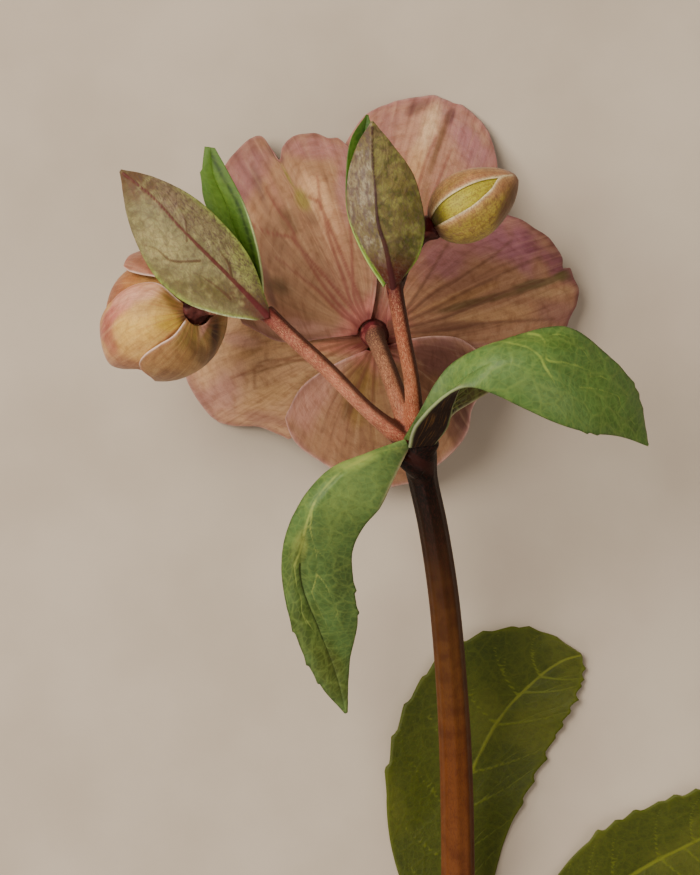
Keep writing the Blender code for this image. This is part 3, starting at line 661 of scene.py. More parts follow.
def feathered(count, first, last, lean, reach, width, strength, seed):
    """Side veins that leave the midrib, bend forward to the margin, and fork on the way."""
    draw = random.Random(seed)
    routes = []
    for side in (-1, 1):
        for index in range(count):
            start = first + (last - first) * (index + 0.4 * draw.random()) / count
            gain = lean * (0.8 + 0.4 * draw.random())
            end = min(start + gain, 0.985)
            gain = end - start
            far = side * reach
            inner = (far * 0.33, start + gain * 0.22)
            outer = (far * 0.68, start + gain * 0.55)
            main = [(0.0, start), inner, outer, (far, end)]
            routes.append((main, width, width * 0.55, strength, strength * 0.7))
            tip = min(end + gain * 0.55, 0.99)
            middle = start + gain * 0.62
            fork = [inner, (far * 0.56, middle), (far * 0.86, (tip + middle) / 2), (far * 0.93, tip)]
            routes.append((fork, width * 0.7, width * 0.4, strength * 0.8, strength * 0.5))
            back = [outer, (far * 0.86, start + gain * 0.60), (far, start + gain * 0.56)]
            routes.append((back, width * 0.6, width * 0.4, strength * 0.7, strength * 0.4))
    return routes


def leaf_finish(name, net_scale, net_colour, net_share, roughness, pale=0.0):
    """A leaf skin: washed ground, inked veins, a fine net of veinlets and tiny pores."""
    finish = Finish(name, Subsurface_Weight=0.05, Subsurface_Scale=0.0006)
    grain = finish.attribute("grain", "Vector")
    wobble = finish.noise(grain, 0.7, 3.0)
    sway = finish.node("ShaderNodeTexNoise", {}, {"Vector": grain, "Scale": 0.45}, 1)
    warped = finish.mix(0.12, grain, sway, "LINEAR_LIGHT")
    net = 1.0 - finish.cells(warped, net_scale).rise(0.015, 0.1)
    fine_net = 1.0 - finish.cells(grain, net_scale * 3.4).rise(0, 0.16)
    mottle = finish.noise(grain, 0.9, 5.0, 0.3)
    vein = (finish.attribute("vein") + 0.25 * (wobble - 0.5)).rise(0.3, 0.72)
    skin = finish.attribute("wash", "Color")
    skin = finish.mix(mottle.rise(0.35, 0.7) * 0.30, skin, "8a8f7a", "MULTIPLY")
    skin = finish.mix(fine_net * 0.16, skin, net_colour)
    skin = finish.mix(net * net_share, skin, net_colour)
    drops = finish.scaled(grain, 2.6, 1.3, 1.0)
    speck = finish.noise(drops, 1.0, 5.0, 0.6).rise(0.47, 0.66) * finish.attribute("fleck")
    skin = finish.mix(speck * 0.72, skin, "5a443e")
    skin = finish.mix(vein * 0.88, skin, finish.attribute("ink", "Color"))
    if pale:
        skin = finish.mix(pale, skin, "a9b07c")
        hairs = finish.noise(finish.scaled(grain, 3.0, 0.25, 1.0), 1.0, 3.0)
        # Painted shade: where painted_shade is set, the underside turns near-black brown, streaked with gold
        # hairs.
        shade_tone = finish.mix(hairs.rise(0.52, 0.72) * 0.6, "1c0a04", "6e4a1e")
        skin = finish.mix(finish.attribute("painted_shade"), skin, shade_tone)
    finish.set(Base_Color=skin, Roughness=roughness + 0.22 * (1.0 - mottle))
    finish.bump(vein * 1.2 + net * 0.5 + fine_net * 0.35 + mottle * 0.6, 0.35, 0.10)
    return finish


def rim_finish(name, code):
    """The thin pale cut of a blade's margin."""
    finish = Finish(name, Roughness=0.5)
    dapple = finish.noise(finish.place(), 1.5, 2.0)
    along = finish.node("ShaderNodeSeparateXYZ", {}, {"Vector": finish.attribute("fan", "Vector")}, 1)
    share = 0.4 + 0.4 * dapple + (1.0 - along.rise(0.08, 0.2))
    finish.set(Base_Color=finish.mix(share, code, finish.attribute("wash", "Color")))
    return finish


green_top = leaf_finish("green_bract_skin", 0.24, "879c4c", 0.19, 0.38)
plain_top = leaf_finish("plain_bract_skin", 0.16, "66802e", 0.10, 0.42)
green_under = leaf_finish("green_bract_underside", 0.36, "8a9458", 0.35, 0.50, 0.35)
green_rim = rim_finish("green_bract_rim", "8c9a5a")
olive_top = leaf_finish("olive_bract_skin", 0.60, "5e4a34", 0.26, 0.46)
olive_under = leaf_finish("olive_bract_inside", 0.55, "6f8f3c", 0.30, 0.45, 0.10)
olive_rim = rim_finish("olive_bract_rim", "c3cf7a")
GREEN = ("green_bract", (green_top, green_under, green_rim), BLADE_THICKNESS)
PLAIN = ("green_bract", (plain_top, green_under, green_rim), BLADE_THICKNESS)
OLIVE = ("olive_bract", (olive_top, olive_under, olive_rim), BLADE_THICKNESS)


def toothed(blade, *teeth):
    """Pushes the margin out into teeth that point to the tip.
    Each has its side, the place of its point along the blade, its reach and its length."""
    rib = blade.form(blade.across * 0.0, blade.along)
    out = unit(blade.form(np.sign(blade.across), blade.along) - rib)
    push = np.zeros(len(out))
    for side, point, reach, length in teeth:
        before = np.clip((blade.along - point + length) / length, 0.0, 1.0) ** 1.4
        after = np.clip((point + length * 0.25 - blade.along) / (length * 0.25), 0.0, 1.0)
        tooth = np.where(blade.along < point, before, after) * (blade.across * side > 0)
        push = np.maximum(push, reach * tooth)
    blade.places = blade.places + out * (push * np.abs(blade.across) ** 10)[:, None]


# The large toothed bract under the bud. Near its base the right half folds over the left one.
form = blade_form(
    [(-1.5, 0.2, 48.2), (1, 4.6, 50), (4.3, 10.3, 51.6), (8, 14, 53.5), (15, 17, 55), (26, 19.5, 53),
     (33.5, 15, 49), (39, 9, 44.5), (41.6, -0.6, 40)],
    [(3.7, -0.8, 47), (5.9, 2.4, 49.6), (7, 6.5, 52.5), (9, 10.5, 55.5), (15, 13.5, 58.5), (23, 12.5, 58),
     (30.5, 8.5, 53), (36.6, 4, 47), (41.7, -0.8, 40)],
    [(-0.7, -1.2, 49), (0.4, 2.4, 52), (4.3, 6.7, 55.4), (8.4, 9, 58), (13.5, 8, 58), (23.5, 3.5, 54),
     (30, 1.5, 50), (36.5, 0.7, 44.5), (41.6, -1, 40)],
    0.5,
)
blade = Blade(form, 180, 64)
blade.wash("56763a", 3, [
    ("5f7c44", 14, 12, 12, 3.4, 30, 0.75), ("647c4c", 4, 9, 9, 2.6, 58, 0.8),
    ("66804a", 22, 8, 9, 2.6, -30, 0.7), ("4f6a28", 22, 17.5, 10, 2.4, -5, 0.75),
    ("5c7c34", 33, 8, 7, 4, -50, 0.65), ("4c6a2a", 37.5, 1.5, 6, 3, -30, 0.85),
    # The dark grey-olive patch at the base is painted shade under the bract's arch.
    ("4a4a2c", 0.5, 1.5, 3, 1.6, 60, 0.6),
])
blade.draw("93a64c", [
    ([(8.4, 14.6), (11.3, 16), (14.7, 16.9), (17.1, 16.5), (19.7, 15.7), (21.6, 14.3), (22.3, 12.8),
      (24, 10.3), (25.5, 7.4), (28.4, 4)], 0.5, 0.36, 0.85, 0.55),
    ([(19.7, 18.2), (21.8, 17.8), (22.8, 15.9), (22.9, 13.7), (26, 13.3), (27.9, 12.9),
      (30.5, 13.5)], 0.44, 0.36, 0.8, 0.6),
    ([(27.9, 12.9), (30.3, 11.9), (30.7, 10.8), (32.5, 11), (34.5, 9.9), (37.6, 7.7)], 0.4, 0.3, 0.8, 0.5),
    ([(22.9, 16), (26.4, 15.4), (29.3, 14.4)], 0.28, 0.22, 0.75, 0.6),
    ([(24, 18.1), (26.4, 17.8), (29.3, 15.4), (30.5, 13.6)], 0.28, 0.22, 0.65, 0.5),
    ([(28.6, 9.1), (31.3, 8.9), (34.1, 8.2), (35.8, 7.5), (36.4, 5.8), (39, 2.6)], 0.3, 0.22, 0.8, 0.5),
    ([(16.6, 13.4), (16.1, 14.4), (14.7, 15.6), (13, 15.1), (10.8, 14.1), (12.3, 12.9), (14.2, 11.7),
      (15.9, 12.2), (16.8, 13.4)], 0.4, 0.34, 0.45, 0.45),
    ([(16.6, 13.4), (19.1, 11.6), (20.2, 9.8), (22.1, 7.4), (25.3, 4.1)], 0.26, 0.22, 0.55, 0.35),
    ([(14.2, 11.7), (16.9, 9.4), (20.2, 7.4), (23.3, 5.5)], 0.26, 0.22, 0.45, 0.3),
    ([(25.5, 7.4), (27.1, 4.8), (30.1, 3.1)], 0.24, 0.2, 0.5, 0.35),
    ([(30.3, 11.9), (32.1, 8.4), (32.8, 5.6), (33.8, 3.5)], 0.26, 0.2, 0.6, 0.35),
], plan=True)
blade.midrib("8f9a58", ((0.02, 0.2, 0.42), 0.50, 0.22, 0.9, 0.3))
fold = (blade.across > 0) * fall(blade.along, 0.36, 0.46)
blade.vein *= 0.75 + 0.5 * blade.ragged(0.25, 44)
# Painted shade: the near half of the folded base, seen from outside, lies in deep shade and is darkened.
blade.painted_shade = (blade.across > 0) * fall(blade.along, 0.30, 0.42) * fade(blade.side, 0.1, 0.7)
blade.blend("90967a", 0.75 * bell(blade.side, 0.60) * fold)
blade.blend("2e4416", 0.6 * bell(blade.side, 0.30) * (1.0 - fold))
blade.lift(-0.14 * blade.vein + 0.10 * blade.ragged(0.3, 4))
toothed(
    blade, (-1, 0.865, 0.5, 0.03), (-1, 0.893, 0.5, 0.03), (-1, 0.922, 0.4, 0.03), (1, 0.755, 0.4, 0.03),
    (1, 0.79, 0.35, 0.03),
)
blade.piece("bract_lower_right_blade", "bract_lower_right", *GREEN)

# The large bract that hangs to the left of the stem.
form = blade_form(
    [(-0.9, -1.5, 47.2), (-3.2, -6.4, 48.3), (-5.6, -11.5, 49), (-8.5, -15, 48), (-10.5, -19.5, 45),
     (-10.2, -26, 40), (-9.6, -32.5, 36), (-11, -39.5, 32.5), (-11.4, -49, 27)],
    [(-0.9, -0.7, 48.2), (-6.6, -3.2, 51), (-12.2, -6.4, 53), (-17, -12.5, 52.3), (-19.2, -18.5, 48),
     (-19.4, -25.2, 43.2), (-16.2, -34, 37.4), (-13.4, -41.8, 31.8), (-11.6, -49.2, 27)],
    [(-1.3, 0.1, 48.4), (-8, -2.4, 49.5), (-14.5, -5.3, 51), (-19.5, -11, 50.5), (-22.5, -19, 46.5),
     (-22.2, -28, 41), (-19.5, -37, 36), (-16, -44, 31), (-11.8, -49.1, 27)],
    0.5,
)
blade = Blade(form, 180, 60)
blade.wash("55703a", 8, [
    ("6f8a4a", -8, -7.5, 8, 4, 35, 0.75), ("91a555", -9, -3.6, 6, 1.2, 20, 0.85),
    ("6a8042", -13, -13, 6, 3, 60, 0.7), ("8a9244", -19.6, -18.5, 4, 1.2, 75, 0.8),
    ("4c5f28", -20.5, -25, 7, 2.2, -85, 0.8), ("43552a", -12.5, -26, 8, 2.4, -85, 0.7),
    ("3f5018", -17.5, -34, 8, 3, -65, 0.8), ("4b541d", -14.5, -42, 7, 3, -65, 0.8),
    ("62703a", -2.4, -1.6, 2.5, 1.4, 20, 0.6),
])
blade.draw("98a452", [
    ([(-1.5, -1.2), (-4.8, -1.9), (-8.8, -3.5), (-12.6, -5.7), (-16.4, -9.9), (-18.2, -14), (-19.5, -19),
      (-20.6, -22)], 0.5, 0.4, 0.55, 0.85),
    ([(-17.3, -11.8), (-17.7, -14.8), (-17.5, -16.6), (-17, -18.9), (-16.6, -21), (-16.9, -24.4),
      (-17.6, -26.6)], 0.32, 0.24, 0.75, 0.6),
    ([(-17, -18.9), (-15.4, -20.3), (-14, -22), (-12.4, -24.8)], 0.26, 0.22, 0.7, 0.5),
    ([(-16.7, -23.4), (-15.3, -25.1), (-14.2, -27.4), (-13, -30.5), (-11.7, -32.8)], 0.26, 0.22, 0.7, 0.5),
    ([(-17.6, -26.6), (-16.5, -29.4), (-15.5, -31.5), (-14.4, -34)], 0.26, 0.22, 0.6, 0.5),
    ([(-14.3, -8.7), (-14.3, -11.3), (-13.8, -14), (-12.9, -15.7)], 0.26, 0.2, 0.55, 0.35),
    ([(-12.6, -6.6), (-11.7, -9), (-11.2, -11.3)], 0.26, 0.2, 0.5, 0.3),
    ([(-13, -30.5), (-13.9, -32.2), (-14.4, -34)], 0.24, 0.2, 0.6, 0.5),
    ([(-20.6, -22), (-20.2, -25.7), (-19.5, -27.8), (-19.3, -30.5),
      (-18.5, -32.6)], 0.28, 0.22, 0.75, 0.55),
    ([(-21.1, -23.6), (-22, -26.6), (-21.5, -29.2), (-20.2, -29.4)], 0.24, 0.2, 0.6, 0.4),
    ([(-19.3, -30.5), (-17.6, -33.3), (-15.9, -35.8), (-14.4, -39.4)], 0.26, 0.2, 0.65, 0.4),
    ([(-18.9, -16.6), (-20.5, -18.9), (-21.7, -21)], 0.26, 0.2, 0.5, 0.4),
    ([(-16.4, -38.2), (-15.3, -39.2), (-14.4, -37.8)], 0.24, 0.2, 0.5, 0.4),
], plan=True)
blade.vein *= 0.8 + 0.5 * blade.ragged(0.25, 45)
blade.midrib("27350f", ((0.56, 0.75, 0.97), 0.34, 0.22, 0.9, 0.6))
blade.blend("c4b48c", 0.9 * bell(blade.side, 0.42) * (blade.across < 0) * fall(blade.along, 0.16, 0.30))
blade.blend("2e4416", 0.6 * bell(blade.side, 0.30) * fade(blade.along, 0.25, 0.35))
blade.lift(-0.14 * blade.vein + 0.10 * blade.ragged(0.3, 10))
toothed(
    blade, (1, 0.7, 0.45, 0.03), (1, 0.795, 0.45, 0.03), (1, 0.86, 0.4, 0.03), (-1, 0.635, 0.5, 0.035),
    (-1, 0.715, 0.45, 0.03),
)
blade.piece("bract_lower_left_blade", "bract_lower_left", *GREEN)

# The narrow dark bract beside the first, with parallel veins.
form = blade_form(
    [(2.9, 1.7, 44.7), (5, 7, 46.4), (8, 11, 48.4), (11.5, 13.2, 48.8), (16, 10.7, 47.7)],
    [(3.7, 1.3, 44.1), (6.2, 6, 45.4), (9, 8.7, 47.2), (12.2, 10.6, 48), (16.2, 10.5, 47.7)],
    [(4.3, 0.7, 43.6), (7.1, 4.4, 44.8), (10, 6.4, 46.2), (13.2, 8.3, 47), (16.1, 10.3, 47.6)],
    0.3,
)
blade = Blade(form, 90, 32)
# The near-black patch at the base is painted shade under the arch of the large bract.
blade.wash("3a3210", 12, [("5e5428", 12, 9, 4, 2, 40, 0.7), ("1a0a04", 4.5, 3, 5, 3, 60, 0.9)])
strands = [[(a * 0.4, 0.05), (a, 0.5), (a * 0.8, 0.96)] for a in (-0.7, -0.35, 0, 0.35, 0.7)]
blade.draw("7d7440", [(strand, 0.16, 0.10, 0.7, 0.6) for strand in strands])
blade.blend("bdb48c", 0.8 * bell(blade.side, 0.25) * (blade.across > 0))
blade.lift(0.08 * blade.vein)
blade.piece("bract_small_blade", "bract_small", *GREEN)

# The pair at the end of the left branch. The front one is seen from its underside.
form = blade_form(
    [(-27.2, 21, 49.2), (-32.5, 21.6, 50), (-39.5, 24, 50), (-45, 29, 50.5), (-49, 37.5, 50.5),
     (-50.6, 46.4, 50)],
    [(-25, 21.3, 49.7), (-30.5, 27, 51.6), (-35, 31.5, 52.8), (-40, 36.5, 53.2), (-45, 42, 52.5),
     (-50.7, 46.6, 50.2)],
    [(-25.3, 23.4, 49.2), (-28, 31, 50.5), (-32, 36.5, 51), (-38, 42, 51), (-45, 45.5, 50.5),
     (-50.6, 46.8, 50)],
    0.5,
)
blade = Blade(form, 165, 84)
blade.wash("847b56", 13, [
    ("ab9e6c", -43, 33.5, 6, 3, -45, 0.85), ("857656", -38.5, 39, 9, 2.6, -42, 0.75),
    ("86705a", -43.5, 42.5, 7, 2.4, -50, 0.8), ("756a3e", -40, 26.5, 7, 2, -35, 0.8),
    ("5c5026", -35.5, 26, 5, 2.4, -35, 0.85), ("6b6040", -31.5, 32, 4, 2.4, -60, 0.7),
    ("5c3a28", -28.6, 24.2, 4, 2.2, -40, 0.85), ("9a9c58", -29.2, 29.6, 5.4, 1.3, -63, 0.85),
    ("644630", -48, 44, 4.6, 2.8, -50, 0.95),
])
blade.fleck = 0.45 + 0.55 * fade(blade.across, -0.2, 0.3)
blade.blend("a39a66", 0.60 * fade(blade.ragged(0.6, 46), -0.10, 0.60))
blade.blend("655c3a", 0.50 * fade(blade.ragged(0.8, 47), -0.10, 0.60))
blade.midrib("581a20", ((0, 0.12, 0.26), 0.66, 0.32, 1.0, 0.9))
blade.midrib("581e20", ((0.2, 0.4, 0.6, 0.97), 0.34, 0.24, 1.0, 0.66))
blade.blend("5c2a28", 0.85 * fall(blade.along, 0.02, 0.16))
blade.draw("553a26", [
    ([(-36.8, 31), (-41.6, 31.1), (-44.2, 33.1), (-46.4, 33.8)], 0.34, 0.24, 0.8, 0.5),
    ([(-31.6, 24.6), (-32.6, 25.5), (-35.1, 27.5), (-37.7, 29.1)], 0.32, 0.22, 0.8, 0.5),
    ([(-31.4, 28.2), (-32, 30.6), (-33.6, 32.7)], 0.32, 0.22, 0.8, 0.5),
    ([(-39, 34.4), (-39.4, 38), (-41, 41)], 0.3, 0.2, 0.7, 0.4),
], plan=True)
blade.draw("5f4a30", feathered(4, 0.14, 0.62, 0.2, 0.8, 0.16, 0.4, 14))
blade.blend("9ab04e", 0.85 * bell(blade.side, 0.60) * fall(blade.along, 0.50, 0.75))
blade.blend("e8efc4", 0.9 * bell(blade.side, 0.22) * (blade.across < 0) * fall(blade.along, 0.28, 0.42))
blade.lift(0.16 * blade.vein + 0.05 * blade.ragged(0.5, 15))
blade.piece("bract_left_front_blade", "bract_left_front", *OLIVE)

form = blade_form(
    [(-26.6, 24.2, 46.8), (-29.6, 30.5, 45.2), (-33.5, 36, 43.2), (-36.5, 42, 42.2), (-36.9, 47, 41.2),
     (-36.4, 51.7, 40.2)],
    [(-26.2, 23.4, 47), (-27.6, 29.8, 44.4), (-30.4, 35.5, 42.6), (-32.6, 41.5, 41.6), (-34.8, 46.5, 41),
     (-35.5, 51.6, 40.5)],
    [(-25.8, 22.8, 47.1), (-26.2, 29.2, 45.8), (-27.3, 35, 44.8), (-29.3, 41.2, 43.4), (-32.2, 47, 42),
     (-34.6, 51.4, 40.8)],
    0.3,
)
blade = Blade(form, 100, 48)
blade.wash("4c6c22", 16, [("5c7a2a", -34, 44, 7, 2.5, -75, 0.6), ("40601c", -30, 36, 8, 2.5, -70, 0.6)])
blade.blend("243a08", 0.85 * bell(blade.side - 1.3, 0.45) * (blade.across > 0))
blade.midrib("3a5212", ((0, 0.5, 0.95), 0.30, 0.16, 0.8, 0.6))
blade.draw("5f7e30", feathered(5, 0.12, 0.75, 0.16, 0.92, 0.18, 0.2, 17))
blade.blend("d0dca0", 0.85 * bell(blade.side, 0.22) * (blade.across > 0) * fall(blade.along, 0.5, 0.7))
blade.lift(-0.10 * blade.vein + 0.05 * blade.ragged(0.5, 18))
toothed(blade, (-1, 0.8, 0.4, 0.1))
blade.piece("bract_left_back_blade", "bract_left_back", *PLAIN)

# The pair at the end of the right branch.
form = blade_form(
    [(-4.8, 27.7, 50), (-8.2, 32.5, 51.2), (-11, 39, 51.5), (-11.1, 45.5, 51.5), (-9.5, 51, 51),
     (-7.1, 55, 50.2)],
    [(-3.2, 25.8, 50.2), (-4.5, 32.5, 53.2), (-6, 37.5, 54), (-6.5, 43.5, 54), (-7, 49, 53),
     (-7, 55.2, 50.4)],
    [(-1.9, 28.1, 50), (1, 32, 51.2), (2, 37.5, 51.5), (0.2, 45.5, 51.5), (-3.5, 51, 51), (-6.8, 55, 50.2)],
    0.5,
)
blade = Blade(form, 165, 84)
blade.wash("6a5f34", 19, [
    ("8c7c62", -9.2, 44, 8, 2.4, 90, 0.9), ("7a6c4c", -8.6, 35.5, 6, 2, 112, 0.8),
    ("8a7b50", -3.8, 47.5, 6, 1.6, 110, 0.6), ("7c7038", -2.6, 43, 5, 2, 100, 0.6),
    ("5a5220", -0.6, 38, 6, 2.6, 95, 0.8), ("3c3608", -2.4, 32, 4, 1.6, 75, 0.8),
    ("4f5014", 0.6, 34, 4, 1, 70, 0.8), ("7a6848", -6.6, 52, 3.4, 1.8, 90, 0.8),
    ("4a1c12", -3.2, 28.5, 3, 2.2, 90, 0.95),
])
blade.fleck = 0.55 + 0.45 * fade(-blade.across, -0.1, 0.3)
west = fade(-blade.across, -0.05, 0.1)
blade.blend("a89c86", 0.50 * west * fade(ragged(blade.places * (1, 0.5, 1), 0.8, 48), 0.0, 0.35))
blade.blend("57424e", 0.55 * west * fade(ragged(blade.places * (1, 0.4, 1), 1.2, 49), 0.05, 0.40))
blade.blend("8f8c4a", 0.50 * (1.0 - west) * fade(blade.ragged(0.5, 50), 0.0, 0.35))
blade.blend("3c4218", 0.55 * (1.0 - west) * fade(blade.ragged(0.8, 51), 0.05, 0.40))
blade.midrib("3e1216", ((0, 0.12, 0.28), 0.62, 0.30, 1.0, 0.95))
blade.midrib("34101a", ((0.2, 0.4, 0.6, 0.95), 0.30, 0.18, 1.0, 0.6))
blade.blend("4c160c", 0.95 * fall(blade.along, 0.08, 0.25))
blade.draw("453d22", feathered(5, 0.12, 0.72, 0.2, 0.85, 0.24, 0.5, 20))
blade.blend("8db03e", 0.9 * bell(blade.side, 0.32) * fall(blade.along, 0.22, 0.45))
blade.lift(0.16 * blade.vein + 0.05 * blade.ragged(0.5, 21))
blade.piece("bract_right_front_blade", "bract_right_front", *OLIVE)

form = blade_form(
    [(-5, 26.6, 47.4), (-8.7, 32.7, 45.6), (-11.3, 39.6, 45), (-11.5, 47.5, 44.5), (-10.6, 53, 44),
     (-8, 57, 43)],
    [(-4.6, 27.3, 47.3), (-6.4, 33, 44.6), (-7.5, 39.5, 43.6), (-8.5, 46.5, 43.2), (-8.5, 52.5, 43.2),
     (-7.8, 57.1, 43)],
    [(-3.8, 27.7, 47), (-3.6, 33.5, 45.4), (-3.7, 40, 45), (-4.6, 47, 44.5), (-6, 52.5, 44),
     (-7.7, 57, 43)],
    0.3,
)
blade = Blade(form, 100, 48)
blade.wash("3a5a12", 22, [("86a83a", -8, 33, 7, 2, 115, 0.8), ("2a4a10", -9, 53, 5, 2, 80, 0.9)])
blade.midrib("3a5212", ((0, 0.5, 0.95), 0.30, 0.16, 0.8, 0.6))
blade.draw("5f7a30", feathered(5, 0.12, 0.75, 0.16, 0.92, 0.16, 0.3, 23))
blade.blend("b4cc70", 0.8 * bell(blade.side, 0.22) * fall(blade.along, 0.3, 0.5))
blade.lift(-0.10 * blade.vein + 0.05 * blade.ragged(0.5, 24))
blade.piece("bract_right_back_blade", "bract_right_back", *PLAIN)

# Stem leaf.
# Three flat toothed leaflets spread from the end of one stalk near the cut. They are older and
# darker than the bracts, and lie on the surface.
LEAFLET_THICKNESS = 0.5
LEAFLET_GRID = (130, 56)
TOOTH_COUNT = 10
leaflet_top = leaf_finish("stem_leaf_skin", 0.30, "525808", 0.16, 0.46)
leaflet_under = leaf_finish("stem_leaf_underside", 0.30, "8a8f50", 0.35, 0.55, 0.35)
leaflet_rim = rim_finish("stem_leaf_rim", "7f8448")
LEAFLETS = {
    "leaflet_upper": (
        [(14.6, -104, 1.9), (3.5, -93, 1.6), (-3, -77, 0.3), (-3.5, -61, 1.6), (1.5, -47, 0.9),
         (11.5, -37.5, 1.8), (23, -35.5, 0.9), (32.4, -40, 1.6)],
        [(15.4, -104.1, 1.9), (9.5, -91, 0.9), (8, -77, 0), (11, -65, 0), (16.5, -53.5, 0.1),
         (23, -46, 0.8), (28.5, -41.8, 1), (32.6, -40.4, 1.6)],
        [(16.2, -104.2, 1.9), (15, -91, 1.8), (17.4, -78, 0.3), (21.5, -67.5, 1.4), (26.5, -57.5, 0.9),
         (30.5, -50, 1.9), (32.6, -44.8, 1), (32.8, -40.8, 1.6)],
        31,
    ),
    "leaflet_side": (
        [(17.3, -104.3, 1.9), (22.5, -91, 1.7), (29.5, -80, 1), (36.5, -73.5, 2), (45.5, -69, 0.9),
         (55, -66, 1.9), (64.5, -65, 1), (73.2, -67.2, 1.6)],
        [(18, -104.8, 1.9), (25.5, -95.5, 1), (34, -87.5, 0.5), (43.5, -81, 0.5), (53, -76, 0.5),
         (60.5, -72.5, 0.7), (67.5, -69.5, 1), (73.4, -67.5, 1.6)],
        [(18.5, -105.5, 1.9), (29, -102, 1.6), (40, -98.5, 1), (51, -93.5, 2), (59.5, -87.5, 0.9),
         (65, -81, 1.9), (70.5, -74, 1), (73.3, -67.9, 1.6)],
        32,
    ),
    "leaflet_lower": (
        [(18.6, -106.3, 1.9), (29, -104.6, 1.5), (38, -104, 1), (47, -105.6, 1.9), (55, -109.4, 1),
         (62.4, -115.2, 1.6)],
        [(18.5, -107, 1.9), (28.5, -110, 1), (37.5, -112, 0.5), (46, -113.6, 0.5), (54.5, -114.8, 0.9),
         (62.5, -115.6, 1.6)],
        [(18.2, -107.8, 1.9), (25, -114.8, 1.6), (34, -119.4, 1), (43.5, -121.4, 1.8), (53.5, -120, 1),
         (62.4, -116, 1.6)],
        33,
    ),
}
for node, (left, middle, right, seed) in LEAFLETS.items():
    blade = Blade(blade_form(left, middle, right, 0.0), *LEAFLET_GRID)
    blade.wash("3c4204", seed, [])
    blade.blend("2b3504", 0.6 * fade(blade.ragged(0.05, seed), -0.2, 0.5))
    blade.blend("585a16", 0.5 * fade(blade.ragged(0.07, seed + 40), 0.0, 0.5))
    blade.midrib("686c1a", ((0, 0.5, 0.99), 0.75, 0.30, 1.0, 0.8))
    blade.draw("5a6010", feathered(8, 0.06, 0.84, 0.12, 0.97, 0.38, 0.8, seed))
    blade.blend("575e0c", 0.6 * bell(blade.side, 0.5))
    blade.lift(-0.12 * blade.vein + 0.06 * blade.ragged(0.25, seed + 50))
    draw = random.Random(seed)
    teeth = [0.42 + 0.055 * index + 0.02 * draw.random() for index in range(TOOTH_COUNT)]
    toothed(blade, *[(side, point, 0.5 + 0.5 * draw.random(), 0.045) for point in teeth for side in (-1, 1)])
    low = LEAFLET_THICKNESS / 2 + 0.02
    blade.places[:, 2] = np.maximum(blade.places[:, 2], low)
    finishes = (leaflet_top, leaflet_under, leaflet_rim)
    blade.piece(node + "_blade", node, "stem_leaf", finishes, LEAFLET_THICKNESS)

# Open flower.
# Five broad tepals overlap in a shallow bowl, seen from behind. Each is a soft petal on a narrow
# crimson claw, with forked veins that fan out to a ruffled rim, faded from mauve to buff.
FLOWER_RADIUS = 43.0
FLOWER_DEPTH = 30.0
FLOWER_BEND = 1.35
TEPAL_LAYER = 1.1
TEPAL_THICKNESS = 0.34
CLAW_RING = 2.6
CLAW_SPREAD = math.radians(38.0)
RIM_WAVE = 19.0
TEPAL_GRID = (130, 100)
NEAR_VEIN = (0.26, 0.55)
DRAWN_VEIN = (0.46, 0.34, 0.88, 0.58)


def bowl_height(x, y):
    reach = np.hypot(x, y) / FLOWER_RADIUS
    return FLOWER[2] + 0.05 * x + 0.18 * y - FLOWER_DEPTH * reach**FLOWER_BEND


def bowl_place(x, y, lift):
    """A place on the bowl of the flower, raised along the bowl's own upright."""
    step = 0.05
    slope_x = (bowl_height(x + step, y) - bowl_height(x - step, y)) / (2 * step)
    slope_y = (bowl_height(x, y + step) - bowl_height(x, y - step)) / (2 * step)
    upright = unit(np.c_[-slope_x, -slope_y, np.ones(len(x))])
    place = np.c_[FLOWER[0] + x, FLOWER[1] + y, bowl_height(x, y)] + upright * lift[:, None]
    place[:, 2] = np.maximum(place[:, 2], TEPAL_THICKNESS / 2)
    return place


def spanned(claw, left, rim, right, across, along):
    """Places of a flat sheet stretched between its claw, its two sides and its rim."""
    wide = (across / 2.0 + 0.5)[:, None]
    far = along[:, None]
    left = [claw[0], *left, rim[0]]
    right = [claw[-1], *right, rim[-1]]
    sides = spline(left, along) * (1.0 - wide) + spline(right, along) * wide
    ends = spline(claw, wide[:, 0]) * (1.0 - far) + spline(rim, wide[:, 0]) * far
    near = np.array(claw[0]) * (1.0 - wide) + np.array(claw[-1]) * wide
    tips = np.array(rim[0]) * (1.0 - wide) + np.array(rim[-1]) * wide
    return sides + ends - near * (1.0 - far) - tips * far


def tepal_form(heading, layer, curl, left, rim, right):
    """A tepal spanned between its claw, its two sides and its rim, laid on the bowl."""
    heading = math.radians(heading)
    turns = [heading + CLAW_SPREAD * share for share in (1, 0.5, 0, -0.5, -1)]
    claw = [(CLAW_RING * math.cos(turn), CLAW_RING * math.sin(turn)) for turn in turns]

    def form(across, along):
        flat = spanned(claw, left, rim, right, across, along)
        wave = 0.5 + 0.5 * np.sin((across / 2.0 + 0.5) * RIM_WAVE + heading * 3.0)
        return bowl_place(flat[:, 0], flat[:, 1], layer * TEPAL_LAYER + curl * wave * along**5)

    return form


